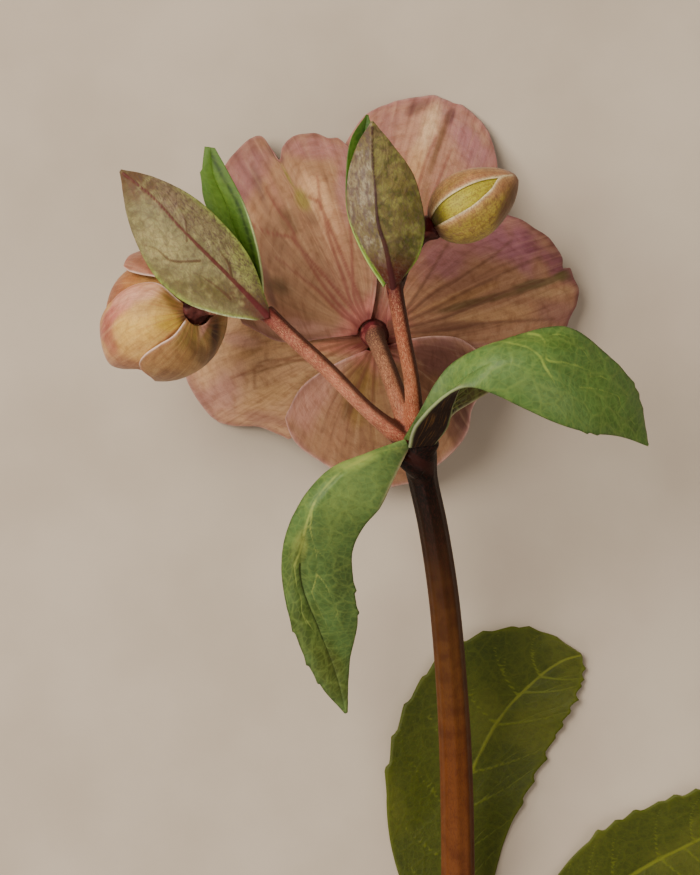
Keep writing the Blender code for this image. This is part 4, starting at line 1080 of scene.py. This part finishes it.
def fanned(count, width, strength, seed, spread=0.92):
    """Veins that fan out from the claw and fork twice before the rim."""
    draw = random.Random(seed)
    routes = []
    step = 2.0 * spread / (count - 1)
    for index in range(count):
        a = -spread + step * index
        strong = strength * (0.75 + 0.25 * draw.random())
        bend = step * 0.25 * (draw.random() - 0.5)
        end = 0.82 + 0.10 * draw.random()
        main = [(a * 0.8, 0.0), (a + bend, 0.3), (a - bend, 0.6), (a + bend, end)]
        routes.append((main, width, width * 0.45, strong, strong * 0.35))
        for side in (-1, 1):
            first = 0.30 + 0.25 * draw.random()
            out = a + side * step * (0.30 + 0.15 * draw.random())
            bent = (out - side * step * 0.1, first + 0.16)
            branch = [(a, first), bent, (out, min(first + 0.42, 0.94))]
            routes.append((branch, width * 0.7, width * 0.35, strong * 0.75, strong * 0.25))
            second = first + 0.20
            tip = out + side * step * 0.22
            twig = [(out, second), (tip, min(second + 0.22, 0.95))]
            routes.append((twig, width * 0.5, width * 0.3, strong * 0.55, strong * 0.2))
    return routes


def tepal_finish(name, streak_dark, streak_light, roughness, speckle=0.14):
    """Petal skin: washed ground, radial streaks, inked veins, fine net and tiny papery cells."""
    finish = Finish(name, Subsurface_Weight=0.08, Subsurface_Scale=0.001)
    finish.set(Sheen_Weight=0.12, Sheen_Roughness=0.5)
    grain = finish.attribute("grain", "Vector")
    fan = finish.attribute("fan", "Vector")
    streak = finish.noise(finish.scaled(fan, 11.0, 2.0, 1.0), 1.0, 4.0, 0.9)
    hairline = finish.noise(finish.scaled(fan, 34.0, 4.5, 1.0), 1.0, 3.0, 0.6)
    mottle = finish.noise(grain, 0.55, 5.0, 0.3)
    speck = finish.noise(grain, 3.2, 3.0)
    net = 1.0 - finish.cells(grain, 0.75).rise(0.01, 0.1)
    vein = (finish.attribute("vein") + 0.25 * (mottle - 0.5)).rise(0, 0.95)
    skin = finish.attribute("wash", "Color")
    skin = finish.mix(streak.rise(0.46, 0.74) * 0.30, skin, streak_dark, "MULTIPLY")
    skin = finish.mix((1.0 - streak.rise(0.3, 0.5)) * 0.16, skin, streak_light)
    skin = finish.mix(hairline.rise(0.5, 0.72) * 0.16, skin, streak_dark, "MULTIPLY")
    skin = finish.mix(mottle.rise(0.42, 0.72) * 0.35, skin, "a88466", "MULTIPLY")
    skin = finish.mix(speck.rise(0.45, 0.66) * speckle, skin, "6b4234")
    skin = finish.mix(net * 0.08, skin, "7d4a3a")
    skin = finish.mix(vein * 0.78, skin, finish.attribute("ink", "Color"))
    finish.set(Base_Color=skin, Roughness=roughness + 0.2 * mottle)
    finish.bump(vein * 1.0 + hairline * 0.5 + streak * 0.8 + net * 0.3 + speck * 0.25, 0.35, 0.12)
    return finish


tepal_outside = tepal_finish("tepal_outside", "8a5a48", "d8b48e", 0.50)
tepal_inside = tepal_finish("tepal_inside", "9a6a52", "d8c098", 0.48)
tepal_edge = rim_finish("tepal_rim", "b48a80")
TEPAL_FINISHES = (tepal_outside, tepal_inside, tepal_edge)


def build_tepal(name, seed, form, ground, patches, rim_bands, veins, vein_code, drawn):
    """Cuts, colours and ruffles one tepal of the open flower."""
    tepal = Blade(form, *TEPAL_GRID)
    tepal.wash(ground, seed, patches)
    uneven = 1.0 + 0.45 * tepal.ragged(0.12, seed + 60)
    for code, reach, strength in rim_bands:
        tepal.blend(code, strength * bell(tepal.margin, reach * uneven))
    reach = np.hypot(tepal.places[:, 0] - FLOWER[0], tepal.places[:, 1] - FLOWER[1])
    star = reach + 2.2 * ragged(np.c_[tepal.across * 9.0, tepal.along, tepal.along], 0.5, seed + 90)
    tepal.blend("a04c48", 0.75 * fall(star, 3.0, 8.0))
    tepal.blend("c88074", 0.5 * fade(reach, 3.2, 4.8) * fall(star, 4.5, 8.0))
    tepal.blend("6a2028", 0.80 * fall(star, 2.6, 4.8))
    tepal.draw(vein_code, fanned(veins, *NEAR_VEIN, seed))
    routes = []
    for route in drawn:
        centre = Vector(FLOWER[:2])
        start = centre + (Vector(route[0]) - centre).normalized() * CLAW_RING
        routes.append(([tuple(start), *route], *DRAWN_VEIN))
    tepal.draw(vein_code, routes, plan=True)
    wave = np.sin(tepal.across * 9.0 + seed) * 0.18 + tepal.ragged(0.22, seed + 70) * 0.35
    tepal.lift(0.06 * tepal.vein + wave * tepal.along**4 + 0.10 * tepal.ragged(0.10, seed + 80))
    tepal.places[:, 2] = np.maximum(tepal.places[:, 2], TEPAL_THICKNESS / 2)
    tepal.piece(name + "_petal", name, "tepal", TEPAL_FINISHES, TEPAL_THICKNESS)


build_tepal(
    "tepal_upper_left", 101,
    tepal_form(
        138, 1, 0.8, [(-9, -0.5), (-13.5, -1), (-17.5, -0.5)],
        [(-23, 2.5), (-26.3, 10), (-28.6, 18.6), (-28.9, 25.2), (-26.7, 31.8), (-23.4, 35.6), (-20.5, 37),
         (-18.7, 34.8), (-16.8, 32.2), (-16.2, 34.2), (-14.2, 36.5), (-10.4, 37.2), (-8.2, 36.2),
         (-6, 35.8), (-4.3, 34)],
        [(0.5, 9), (0, 16), (-1.5, 24)],
    ),
    "9c7456", [
        ("8d5c5e", -30.5, 49, 8, 5, 70, 0.85), ("a06c6a", -16, 53.8, 9, 2.6, -10, 0.85),
        ("a47072", -11, 48.5, 8, 2.2, 85, 0.75), ("d2a47a", -16.6, 43.6, 7, 2.6, -63, 0.9),
        ("b98868", -14, 36.5, 7, 2.6, -70, 0.65), ("7d7030", -22.2, 48.6, 3.8, 0.45, -64, 0.95),
        ("86782e", -19.7, 44.2, 2.6, 1.3, -60, 0.85), ("5f3a36", -24.9, 53.6, 3.8, 0.9, -51, 0.9),
        # The dark purple-brown strip low on the left margin and the dark olive patch beside it are painted
        # shade on the margin, which folds away by the bracts.
        ("6b4a40", -27.4, 46.4, 4.2, 1.1, -72, 0.85), ("5a3230", -25.4, 27.4, 6.4, 0.9, -74, 0.68),
        ("a87464", -25, 46.5, 5, 1.4, -65, 0.6), ("5c4428", -23.6, 28, 3.4, 1.9, -20, 0.85),
        ("6f5034", -21.8, 40, 3.4, 1.7, -60, 0.7), ("6f4f38", -17.6, 40.2, 2, 1.5, -60, 0.6),
        ("7a5840", -25.5, 36, 5, 3, -60, 0.6), ("b78468", -26, 23, 7, 2, -12, 0.8),
        ("946650", -12.5, 27.5, 8, 3, 125, 0.6), ("b98878", -20, 20.4, 8, 1.4, -2, 0.85),
    ],
    [("7c4a4a", 1.4, 0.6), ("c08c84", 0.35, 0.5)], 9, "74342c", [
        [(-11.5, 23), (-15.8, 28.3), (-19.8, 34.9), (-21.7, 38.9), (-24.3, 42.6), (-26.4, 46.7)],
        [(-19.8, 34.9), (-21.4, 36.9), (-25.4, 37.9), (-29.2, 39.8)],
        [(-10.3, 24), (-11.9, 28.8), (-14.1, 35.3), (-15.8, 41.8), (-16.4, 44.6), (-16.8, 48.7)],
        [(-15.8, 41.8), (-17, 43.6), (-18.8, 44.7)],
        [(-9.8, 25), (-10.3, 28.8), (-10.5, 34.3), (-10.8, 38.7), (-11.2, 44)],
        [(-12.4, 22.8), (-16.5, 27), (-19.8, 29.7), (-24.2, 33.4)],
    ],
)
build_tepal(
    "tepal_top", 102,
    tepal_form(
        66, -1, -0.5, [(-3, 9), (-5.5, 17), (-7, 26)],
        [(-5.5, 36.5), (-1.5, 42.3), (4, 45.4), (10.8, 46.42), (13.4, 45.7), (17.1, 44.6), (20.4, 41.5),
         (22.6, 38), (23.8, 31)],
        [(7, 6.5), (14, 12.5), (20, 20.5)],
    ),
    "ba8a74", [
        ("e2bc96", 3.2, 56.5, 9, 1.8, 72, 0.95), ("c2946a", 0.8, 47.5, 8, 2.4, 78, 0.8),
        ("ac747a", 11, 56, 8, 3.4, -65, 0.85), ("a3706a", -4, 57.5, 7, 3, 60, 0.85),
        ("6e4440", 2, 62.6, 3.4, 1.5, 30, 0.85), ("6a3e40", 8, 60.6, 3, 0.9, 70, 0.85),
        # The thin dark brown line and the darker patch below it are painted shade in the folds of this
        # tepal.
        ("775036", 5.2, 53.5, 8, 0.8, 72, 0.9), ("8a5f3c", 3, 44.5, 6, 1.4, 76, 0.7),
        ("a5735c", 6.5, 44, 8, 3, 75, 0.55),
    ],
    [("a0646a", 1.8, 0.6), ("c59a94", 0.35, 0.5)], 9, "8a5044", [
        [(-1, 36), (1, 44), (2.9, 51), (5, 56)], [(1.5, 36), (4.3, 45), (8, 54)],
    ],
)
build_tepal(
    "tepal_right", 103,
    tepal_form(
        -6, 0, 0.0, [(2.8, 6), (5.5, 12.5), (13, 19.5)],
        [(24, 22.8), (27, 21.7), (29.6, 20.3), (32, 19), (34, 17), (35.1, 14.9), (35.2, 12.9), (36.9, 13.1),
         (37.4, 11.2), (38.1, 9), (37.7, 6), (36.6, 3.6), (35.5, 0.5)],
        [(9, -3.2), (18, -4.6), (27.5, -3.6)],
    ),
    "ac7e60", [
        ("a86a7a", 17, 36.8, 10, 4.6, -25, 0.95), ("8c4e60", 25.5, 34, 7, 2.2, -45, 0.8),
        ("a66c72", 8, 33.6, 9, 4.2, 22, 0.85), ("a07058", 10, 28.5, 10, 1.6, 24, 0.7),
        # The thin dark olive and brown lines running out from the claw, and the dark olive spot at the
        # notch, are painted shade along the valley folds of this tepal.
        ("b48658", 9, 26, 9, 1, 20, 0.75), ("68502f", 13, 25.4, 10, 0.8, 15, 0.85),
        ("6c5a38", 24, 29, 7, 0.9, 12, 0.85), ("c0946a", 17, 23, 9, 1.8, 8, 0.85),
        ("bc966e", 27, 27.5, 5, 1, 10, 0.7), ("7d5440", 7, 20.6, 9, 0.9, 4, 0.75),
        ("96645c", 27, 23.5, 5, 2.4, 0, 0.75), ("5a5020", 28.6, 30.6, 1.8, 0.9, 20, 0.9),
        ("b07c72", 10, 17, 7, 0.8, 2, 0.6),
    ],
    [("6a3040", 1.4, 0.65), ("8e5a5e", 0.35, 0.5)], 11, "6c4232", [
        [(-1, 22.5), (4, 26.5), (9, 29.5), (15, 33.5), (19, 37)],
        [(-0.5, 21.6), (5.5, 24.5), (12, 28), (19, 31.5), (24.5, 34)],
        [(0, 20.6), (6, 22.2), (12, 24.6), (18, 27.4), (25, 29.5)],
        [(0, 19.4), (7, 20.2), (14, 21.4), (21, 22), (27, 22.5)],
        [(-1, 23.4), (2.5, 28.5), (5.5, 33.5), (8, 37.5)],
    ],
)
build_tepal(
    "tepal_bottom", 104,
    tepal_form(
        282, 1, 0.9, [(6, -0.6), (10.5, 0), (15, -0.4)],
        [(19, -3), (19.8, -8.2), (17.6, -12.6), (16.6, -16.6), (12.6, -21.6), (7.6, -25.8), (2, -26.7),
         (-3, -25.4), (-7, -23.6), (-10.8, -21.5), (-14.1, -18), (-15.5, -13.9)],
        [(-5.5, -4.2), (-9.6, -6.4), (-13, -9.2)],
    ),
    "9a7050", [
        ("c6907e", -18, 7, 7, 4, 60, 0.9), ("a87a5c", -13.5, 3.5, 6, 4, 60, 0.7),
        ("8c6a30", -8.6, 9, 7, 3, 75, 0.85), ("6a4426", -10.5, 7.5, 6, 0.8, 68, 0.8),
        ("a07a50", -6, 4, 6, 2, 85, 0.6), ("68422a", 3.5, 9, 7, 4, -60, 0.9),
        ("6a3e38", 6, 15, 8, 3.4, -10, 0.9), ("56302c", 9, 5, 7, 4, -60, 0.85),
        ("7a5240", 1, 0, 6, 4, -60, 0.6),
    ],
    # The thin pale band on this tepal's rim is a painted highlight of its lit, curled edge; the wider pink
    # band is its own margin colour.
    [("b07c76", 1.3, 0.6), ("dcb2aa", 0.4, 0.85)], 11, "70402c", [
        [(-8.4, 14.5), (-12, 10.5), (-14.5, 6), (-16, 1.5)], [(-7.6, 14), (-9.6, 9), (-11, 4), (-11.8, -1)],
        [(-6.4, 13.5), (-6.8, 8), (-7, 2.5), (-6.5, -2.5)], [(-5.4, 14), (-3.2, 8.5), (-1, 3)],
        [(-4.6, 14.6), (0.5, 10.5), (5, 5.5)],
    ],
)
build_tepal(
    "tepal_left", 105,
    tepal_form(
        210, -1, -0.5, [(-5, -7), (-7.5, -12), (-11, -16.5)],
        [(-16, -19.4), (-21.3, -17.6), (-27, -16.7), (-31.7, -14.8), (-35.5, -9.2), (-36, -4), (-34, 0.8),
         (-30, 4.5)],
        [(-8.5, 4), (-15.5, 7), (-23.5, 7.2)],
    ),
    "cda27a", [
        # The thin dark brown line is painted shade in a crease of this tepal.
        ("cfa276", -25, 17, 9, 2, 5, 0.85), ("7a5434", -25, 13.4, 9, 0.32, 14, 0.65),
        ("a87e50", -29, 16.4, 5, 1, 30, 0.6), ("b8867a", -35, 9, 6, 4, 40, 0.85),
        ("b8867e", -31, 18.5, 5, 1.6, -10, 0.6), ("d0866c", -14.5, 17.2, 6, 1.3, 5, 0.9),
        ("c89e6e", -24, 9, 7, 2.4, 20, 0.7), ("a06e60", -24, 3.5, 8, 1.6, -10, 0.7),
    ],
    [("94605c", 1.8, 0.65), ("c59a94", 0.35, 0.5)], 9, "7e4c34", [
        [(-11, 17.8), (-17, 16.2), (-23.5, 14.6), (-33, 11.6)],
        [(-11, 17.2), (-17, 14.8), (-27.2, 14.3), (-28.4, 9.6)], [(-11, 18.2), (-17, 18), (-24, 18.6)],
    ],
)

# Middle of the open flower.
# On its hidden side hang a ring of waxy tubular nectaries, a brush of stamens with pale pods, and
# four green carpels with long styles, all grown on the receptacle.
NECTARY_COUNT = 12
STAMEN_COUNT = 42
CARPEL_COUNT = 4
RECEPTACLE_RADIUS = 2.7
middle_turn = frame_along(FLOWER_AXIS, Vector((0, 1, 0)))


def soft_finish(name, light, dark, scale, roughness):
    """A plain living skin, mottled between two colours with fine pits."""
    finish = Finish(name, Subsurface_Weight=0.06, Subsurface_Scale=0.0006)
    where = finish.place()
    mottle = finish.noise(where, scale, 4.0, 0.2)
    pits = finish.noise(where, scale * 5.0, 2.0)
    skin = finish.mix(mottle.rise(0.3, 0.7), light, dark)
    skin = finish.mix(pits.rise(0.55, 0.7) * 0.35, skin, dark)
    finish.set(Base_Color=skin, Roughness=roughness + 0.2 * mottle)
    finish.bump(pits + mottle, 0.35, 0.06)
    return finish


nectary_skin = soft_finish("nectary_skin", "b9bd4a", "7d8a2a", 0.9, 0.30)
filament_skin = soft_finish("stamen_skin", "e6ddb0", "c7b87c", 1.4, 0.50)
carpel_skin = soft_finish("carpel_skin", "8a9a52", "5d5a2c", 1.0, 0.45)


def out_at(angle):
    return Vector((math.cos(angle), math.sin(angle), 0.0))


def seeds(count, inner, outer, spin):
    """Places spread over a ring by the golden angle, as (radius, angle) pairs."""
    golden = math.pi * (3.0 - math.sqrt(5.0))
    for index in range(count):
        share = (index + 0.5) / count
        yield math.sqrt(inner**2 + share * (outer**2 - inner**2)), index * golden + spin


def stamen(shape, base, tip, bow):
    """A thread with a slight bow, and a two-lobed pod on its end."""
    line = tip - base
    ahead = line.normalized()
    side = frame_along(ahead, Vector((0.3, 0.5, 0.8))).col[0]
    share = np.linspace(0, 1, 8)
    places = [base + line * s + side * bow * math.sin(math.pi * s) for s in share]
    tube(shape, np.array(places), 0.22 - 0.09 * share, 6)
    turn = frame_along(ahead, side)
    for lobe in (-0.2, 0.2):
        where = Matrix.Translation(tip + ahead * 0.75 + turn.col[1] * lobe) @ turn.to_4x4()
        size = Matrix.Diagonal((0.3, 0.27, 0.95, 1))
        bmesh.ops.create_uvsphere(shape, u_segments=8, v_segments=7, radius=1.0, matrix=where @ size)


def whorl(shape, profile, count, start, reach, height, spread, rise):
    """Turned forms in a ring around the flower's axis, each leaning outwards."""
    for index in range(count):
        outward = out_at(index * math.tau / count + start)
        base = Vector(FLOWER) + middle_turn @ (outward * reach + UP * height)
        lean = (middle_turn @ (outward * spread + UP * rise)).normalized()
        turned(shape, profile, 12, base, frame_along(lean, Vector((0.2, 0.9, 0.3))))


shape = bmesh.new()
inner = RECEPTACLE_RADIUS + 0.1
collar = [(inner, 3.75), (3.6, 3.5), (4.1, 3.6), (4.3, 4.1), (4.1, 4.55), (3.6, 4.65), (inner, 4.6)]
turned(shape, collar, 36, FLOWER, middle_turn, hoop=True)
horn = [(0.32, -0.3), (0.42, 0.5), (0.58, 1.4), (0.76, 2.3), (0.86, 2.9), (0.8, 3.25), (0.66, 3.35),
        (0.56, 3), (0.46, 2)]
whorl(shape, horn, NECTARY_COUNT, 0.0, 3.7, 4.2, 0.75, 0.66)
object_from("nectary_ring", shape, nectary_skin, "nectaries", "nectary")

shape = bmesh.new()
disc = [(2.1, 5.8), (2.6, 6), (2.75, 6.4), (2.6, 6.9), (2.1, 7.2)]
turned(shape, disc, 24, FLOWER, middle_turn)
draw = random.Random(7)
bows = random.Random(8)
for radius, angle in seeds(STAMEN_COUNT, 1.75, 2.5, 0.0):
    splay = 0.25 + 0.62 * draw.random()
    length = 6.0 + 2.6 * draw.random()
    base = Vector(FLOWER) + middle_turn @ (out_at(angle) * radius + UP * 6.6)
    tip = base + middle_turn @ ((out_at(angle) * splay + UP).normalized() * length)
    stamen(shape, base, tip, 0.35 * (bows.random() - 0.5))
object_from("stamen_brush", shape, filament_skin, "stamens", "stamen")

shape = bmesh.new()
turned(shape, [(0.8, 7.4), (1.1, 7.6), (1.3, 8), (1.2, 8.5), (0.9, 8.8)], 20, FLOWER, middle_turn)
pod = [(0.35, -0.2), (0.58, 0.6), (0.68, 1.6), (0.64, 3), (0.48, 4.4), (0.3, 5.4), (0.24, 7), (0.22, 8.2),
       (0.32, 8.7), (0.36, 9)]
whorl(shape, pod, CARPEL_COUNT, 0.4, 0.62, 8.1, 0.05, 1.0)
object_from("carpel_group", shape, carpel_skin, "carpels", "carpel")

# Half-open flower.
# A younger cup of five tepals that still curl inwards, yellow at the base and flushed pink at the
# rims, hung from its own short stalk, with a few stamens inside.
YOUNG_LAYER = 1.0
YOUNG_GRID = (76, 76)
YOUNG_PROFILE = [(2.6, -0.3), (7.1, 2), (10, 5.8), (10.8, 10), (9.9, 14.2), (7.6, 17.6)]
YOUNG_STAMEN_COUNT = 20
young_turn = frame_along(YOUNG_AXIS)
young_outside = tepal_finish("young_tepal_outside", "9a6a42", "e0c48a", 0.42)
young_inside = tepal_finish("young_tepal_inside", "8f8a4a", "dcd6a0", 0.45)
young_edge = rim_finish("young_tepal_rim", "e0c0b0")


def young_form(layer, claw, left, rim, right):
    """A tepal on the cup; its outline is given as angle, share of the way to the mouth, and any bulge."""
    claw, left, rim, right = [[(*point, 0)[:3] for point in line] for line in (claw, left, rim, right)]

    def form(across, along):
        flat = spanned(claw, left, rim, right, across, along)
        out = spline(YOUNG_PROFILE, flat[:, 1])
        ahead = unit(spline(YOUNG_PROFILE, flat[:, 1] + 0.02) - spline(YOUNG_PROFILE, flat[:, 1] - 0.02))
        radius = out[:, 0] + ahead[:, 1] * (layer * YOUNG_LAYER + flat[:, 2])
        height = out[:, 1] - ahead[:, 0] * (layer * YOUNG_LAYER + flat[:, 2])
        angle = np.radians(flat[:, 0])
        place = np.c_[radius * np.cos(angle), radius * np.sin(angle), height]
        return YOUNG_BASE + place @ np.array(young_turn).T

    return form


YOUNG_TEPALS = {
    "young_tepal_lower": (
        1, [(-146, 0), (-30, 0)],
        [(-182, 0.14), (-190, 0.3), (-184, 0.5), (-168, 0.68)],
        [(-150, 0.8), (-125, 0.88), (-102, 0.84), (-84, 0.67), (-69, 0.55), (-54, 0.515)],
        [(-42, 0.12), (-40, 0.24), (-41, 0.36), (-46, 0.46)],
        "a47c48", 201, [
            ("aa8050", -45, 14, 6, 2.4, 10, 0.7), ("8a6240", -43, 10.8, 6, 1.6, -10, 0.8),
            ("8c7430", -38.6, 18.6, 3, 2.4, 40, 0.7), ("6a4a28", -37, 15, 4, 2, -50, 0.8),
            # The pale pink streak is a painted highlight on the lit fold of this tepal; the dark maroon
            # patches beside it and by the base are painted shade.
            ("cf9a86", -36.6, 20.2, 3.2, 0.7, 72, 0.95), ("2e110c", -34.9, 19.2, 4, 1.1, 78, 0.95),
            ("8a6e2c", -33, 18.6, 4.4, 0.6, 75, 0.9), ("3a1812", -38.6, 22.4, 2, 0.8, -20, 0.8),
        ],
    ),
    "young_tepal_front": (
        0, [(-58, 0), (24, 0)],
        [(-70, 0.2), (-74, 0.4), (-72, 0.52, -0.2)],
        [(-68, 0.6, -0.3), (-57, 0.66, 0.1), (-51, 0.74, 1.1), (-44, 0.82, 1.8), (-32, 0.88, 1.4),
         (-16, 0.9, 0.6), (-2, 0.82, 0.2), (7, 0.69)],
        [(40, 0.14), (42, 0.24), (32, 0.38), (20, 0.53)],
        "cba05c", 202, [
            ("a4505a", -52.8, 22, 5, 1.1, 62, 0.85), ("c87a6c", -50.4, 24.4, 5, 1.6, 45, 0.85),
            ("d8a088", -47.4, 25.6, 4.6, 2, 20, 0.8), ("a45c4c", -53.4, 17.5, 5, 1.4, 100, 0.85),
            ("9a6448", -51, 13.2, 5, 1.8, -15, 0.85), ("dcb25a", -46.5, 20, 5, 3, 10, 0.85),
            ("b8962c", -42, 20.6, 4, 1.6, 0, 0.8), ("b8724e", -42.6, 17.6, 4, 1, 35, 0.7),
            # The dark olive patch under the bract and the dark maroon one in the hollow at the base are
            # painted shade.
            ("6e5418", -42, 24.6, 3, 1.6, -40, 0.85), ("30100c", -38.2, 21.8, 2.8, 1.6, 0, 0.95),
        ],
    ),
    "young_tepal_upper": (
        -1, [(4, 0), (104, 0)],
        [(0, 0.25), (2, 0.5), (6, 0.7)], [(14, 0.88), (34, 0.97), (60, 0.98), (84, 0.92)],
        [(110, 0.25), (106, 0.5), (96, 0.72)],
        "ae7340", 203, [("b48a50", -44, 28.5, 5, 1.6, 10, 0.7), ("9a5c42", -52.5, 26, 3, 2, 60, 0.8)],
    ),
    "young_tepal_back": (
        1, [(76, 0), (168, 0)],
        [(54, 0.15), (44, 0.3), (43, 0.44)],
        [(48, 0.55), (60, 0.62), (76, 0.7), (104, 0.86), (140, 0.94), (164, 0.8)],
        [(176, 0.25), (180, 0.5), (176, 0.68)],
        "96624a", 204, [("b07c66", -48, 29.6, 4, 1, -20, 0.7)],
    ),
    "young_tepal_under": (
        -1, [(148, 0), (240, 0)],
        [(150, 0.25), (156, 0.5), (164, 0.72)], [(176, 0.92), (190, 0.98), (208, 0.98), (226, 0.88)],
        [(244, 0.25), (240, 0.5), (234, 0.72)],
        "a07a52", 205, [],
    ),
}
for node, (layer, claw, left, rim, right, ground, seed, patches) in YOUNG_TEPALS.items():
    tepal = Blade(young_form(layer, claw, left, rim, right), *YOUNG_GRID)
    tepal.wash(ground, seed, [])
    tepal.blend("8f8236", 0.4 * fall(tepal.along, 0.05, 0.40))
    # Painted shade in the hollow of the cup: each tepal darkens to maroon towards its claw.
    tepal.blend("3c1210", 0.9 * fall(tepal.along, 0.0, 0.16))
    tepal.blend("ab6c58", 0.45 * fade(tepal.along + 0.15 * tepal.ragged(0.15, seed), 0.75, 1.0))
    tepal.blend("b5685e", 0.35 * bell(tepal.margin, 1.8))
    tepal.spots(seed, patches)
    pale = np.where(tepal.across > 0, fade(tepal.along, 0.04, 0.10), fade(tepal.along, 0.25, 0.40))
    tepal.blend("e8cabe", 0.9 * bell(tepal.side, 0.34) * pale)
    tepal.draw("9a5a3a", fanned(9, 0.26, 0.5, seed))
    tepal.lift(0.07 * tepal.vein + 0.08 * tepal.ragged(0.18, seed))
    finishes = (young_outside, young_inside, young_edge)
    tepal.piece(node + "_petal", node, "young_tepal", finishes, TEPAL_THICKNESS)

shape = bmesh.new()
turned(shape, [(1.2, 3.5), (1.7, 3.6), (1.9, 4), (1.7, 4.6), (1.2, 4.8)], 20, YOUNG_BASE, young_turn)
draw = random.Random(11)
bows = random.Random(12)
for radius, angle in seeds(YOUNG_STAMEN_COUNT, 0.0, 1.5, 0.5):
    base = Vector(YOUNG_BASE) + young_turn @ (out_at(angle) * radius + UP * 4.2)
    aim = young_turn @ (out_at(angle) * (0.1 + 0.28 * radius) + UP).normalized()
    length = 4.8 + 1.6 * draw.random()
    stamen(shape, base, base + aim * length, 0.3 * (bows.random() - 0.5))
object_from("young_stamen_brush", shape, filament_skin, "young_stamens", "stamen")

# Bud.
# A closed bud of overlapping tepals: a yellow-olive middle one, and an upper and a lower one whose
# cream margins wrap over it and meet at the brown tip.
BUD_RADIUS = 6.2
BUD_LENGTH = float(np.linalg.norm(BUD_TIP - BUD_BASE))
UPPER_LINE = (38, 34, 31, 29.5, 29, 27, 20, 12)
LOWER_LINE = (-5, -5, -5.5, -5.5, -2, 5, 24, 30)
BUD_TEPAL_THICKNESS = 0.28
BUD_GRID = (110, 80)
BUD_END = 0.0005
bud_turn = frame_along(BUD_AXIS)
bud_skin = tepal_finish("bud_skin", "8a6a3a", "d8b878", 0.40, 0.50)
bud_under = tepal_finish("bud_inside", "8a8a4a", "d8d49a", 0.45)
bud_edge = rim_finish("bud_rim", "ecdcae")


def bud_place(angle, along, proud):
    """A place on the bud, its angle from the camera's side towards the top of the photo."""
    along = np.clip(along, 0.0, 1.0)
    width = np.sin(math.pi * along**0.84) ** 0.64 * (1.0 - 0.12 * along)
    radius = BUD_RADIUS * width * 0.985 + proud * np.minimum(1.0, width * 2.0)
    turn = -np.radians(angle)
    height = 0.3 + along * (BUD_LENGTH - 0.3)
    place = np.c_[radius * np.cos(turn), radius * np.sin(turn), height]
    return BUD_BASE + place @ np.array(bud_turn).T


def bud_tepal(name, first, last, proud, ground, seed, patches):
    """One tepal of the bud, from the edge line first round its back to the edge line last."""

    def form(across, along):
        even = 0.5 - 0.5 * np.cos(math.pi * along)
        share = 0.5 - across / 2.0
        start = level(first, even)
        end = level(last, even)
        rise = proud * fade(np.abs(share - 0.5), 0.62, 0.40)
        return bud_place(start + (end - start) * share, 0.012 + 0.976 * even, rise + 0.12)

    shell = Blade(form, *BUD_GRID)
    shell.wash(ground, seed, patches)
    shell.blend("7a523a", 0.80 * fade(shell.along, 0.74, 0.95))
    shell.blend("4c1614", 0.90 * fall(shell.along + 0.05 * shell.ragged(0.5, seed), 0.10, 0.20))
    shell.blend("7a5430", 0.50 * fade(shell.ragged(0.9, seed + 5), 0.05, 0.5))
    shell.blend("7a4a34", 0.45 * fade(shell.ragged(2.4, seed + 6), 0.10, 0.35))
    band = fade(shell.along, 0.12, 0.2) * fall(shell.along, 0.84, 0.95)
    shell.blend("c8906c", 0.55 * bell(shell.side, 1.20) * band)
    shell.blend("ecdcb0", 0.95 * bell(shell.side, 0.34) * band)
    shell.draw("7a4a2a", fanned(11, 0.20, 0.30, seed))
    shell.lift(0.05 * shell.vein + 0.05 * shell.ragged(0.25, seed))
    shell.piece(name, None, "bud", (bud_skin, bud_under, bud_edge), BUD_TEPAL_THICKNESS)


shape = bmesh.new()
bmesh.ops.create_uvsphere(shape, u_segments=72, v_segments=72, radius=1.0)
for vert in shape.verts:
    along = (vert.co.z + 1.0) / 2.0
    angle = -math.degrees(math.atan2(vert.co.y, vert.co.x))
    along = min(max(along, BUD_END), 1.0 - BUD_END)
    vert.co = bud_place(np.array([angle]), np.array([along]), -0.12)[0]
core = object_from("bud_core", shape, bud_skin, "bud", "bud")
here = places_of(core.data) - BUD_BASE
share = (here @ np.array(BUD_AXIS)) / BUD_LENGTH
tint = np.tile(colour("b0a632")[:3], (len(here), 1))
paint(core.data, "wash", dye(tint, "4a4410", fall(share, 0.08, 0.24) * 0.90), 1.0)
paint(core.data, "grain", here @ np.array(bud_turn))
round_bud = np.arctan2(here @ np.array(bud_turn.col[1]), here @ np.array(bud_turn.col[0]))
paint(core.data, "fan", np.c_[round_bud, share])

bud_tepal("bud_upper_tepal", UPPER_LINE, (188,) * 3, 0.16, "b4844a", 301, [
    ("d8a074", 10, 44.2, 5, 1.4, 28, 0.85), ("8a7430", 6, 42.6, 4, 1.6, 50, 0.8),
    ("a07444", 14.5, 46.6, 4, 1.6, 15, 0.7),
])
bud_tepal("bud_lower_tepal", (-186,) * 3, LOWER_LINE, 0.26, "b09a3c", 302, [
    ("cfa070", 9.5, 40.6, 6, 1, 38, 0.8), ("8a7a28", 8.5, 37.4, 4, 1.4, 30, 0.7),
    ("5c3a20", 17.2, 42, 7, 1.3, 69, 0.9), ("a0704e", 15.6, 44.4, 3, 1.4, 40, 0.8),
])
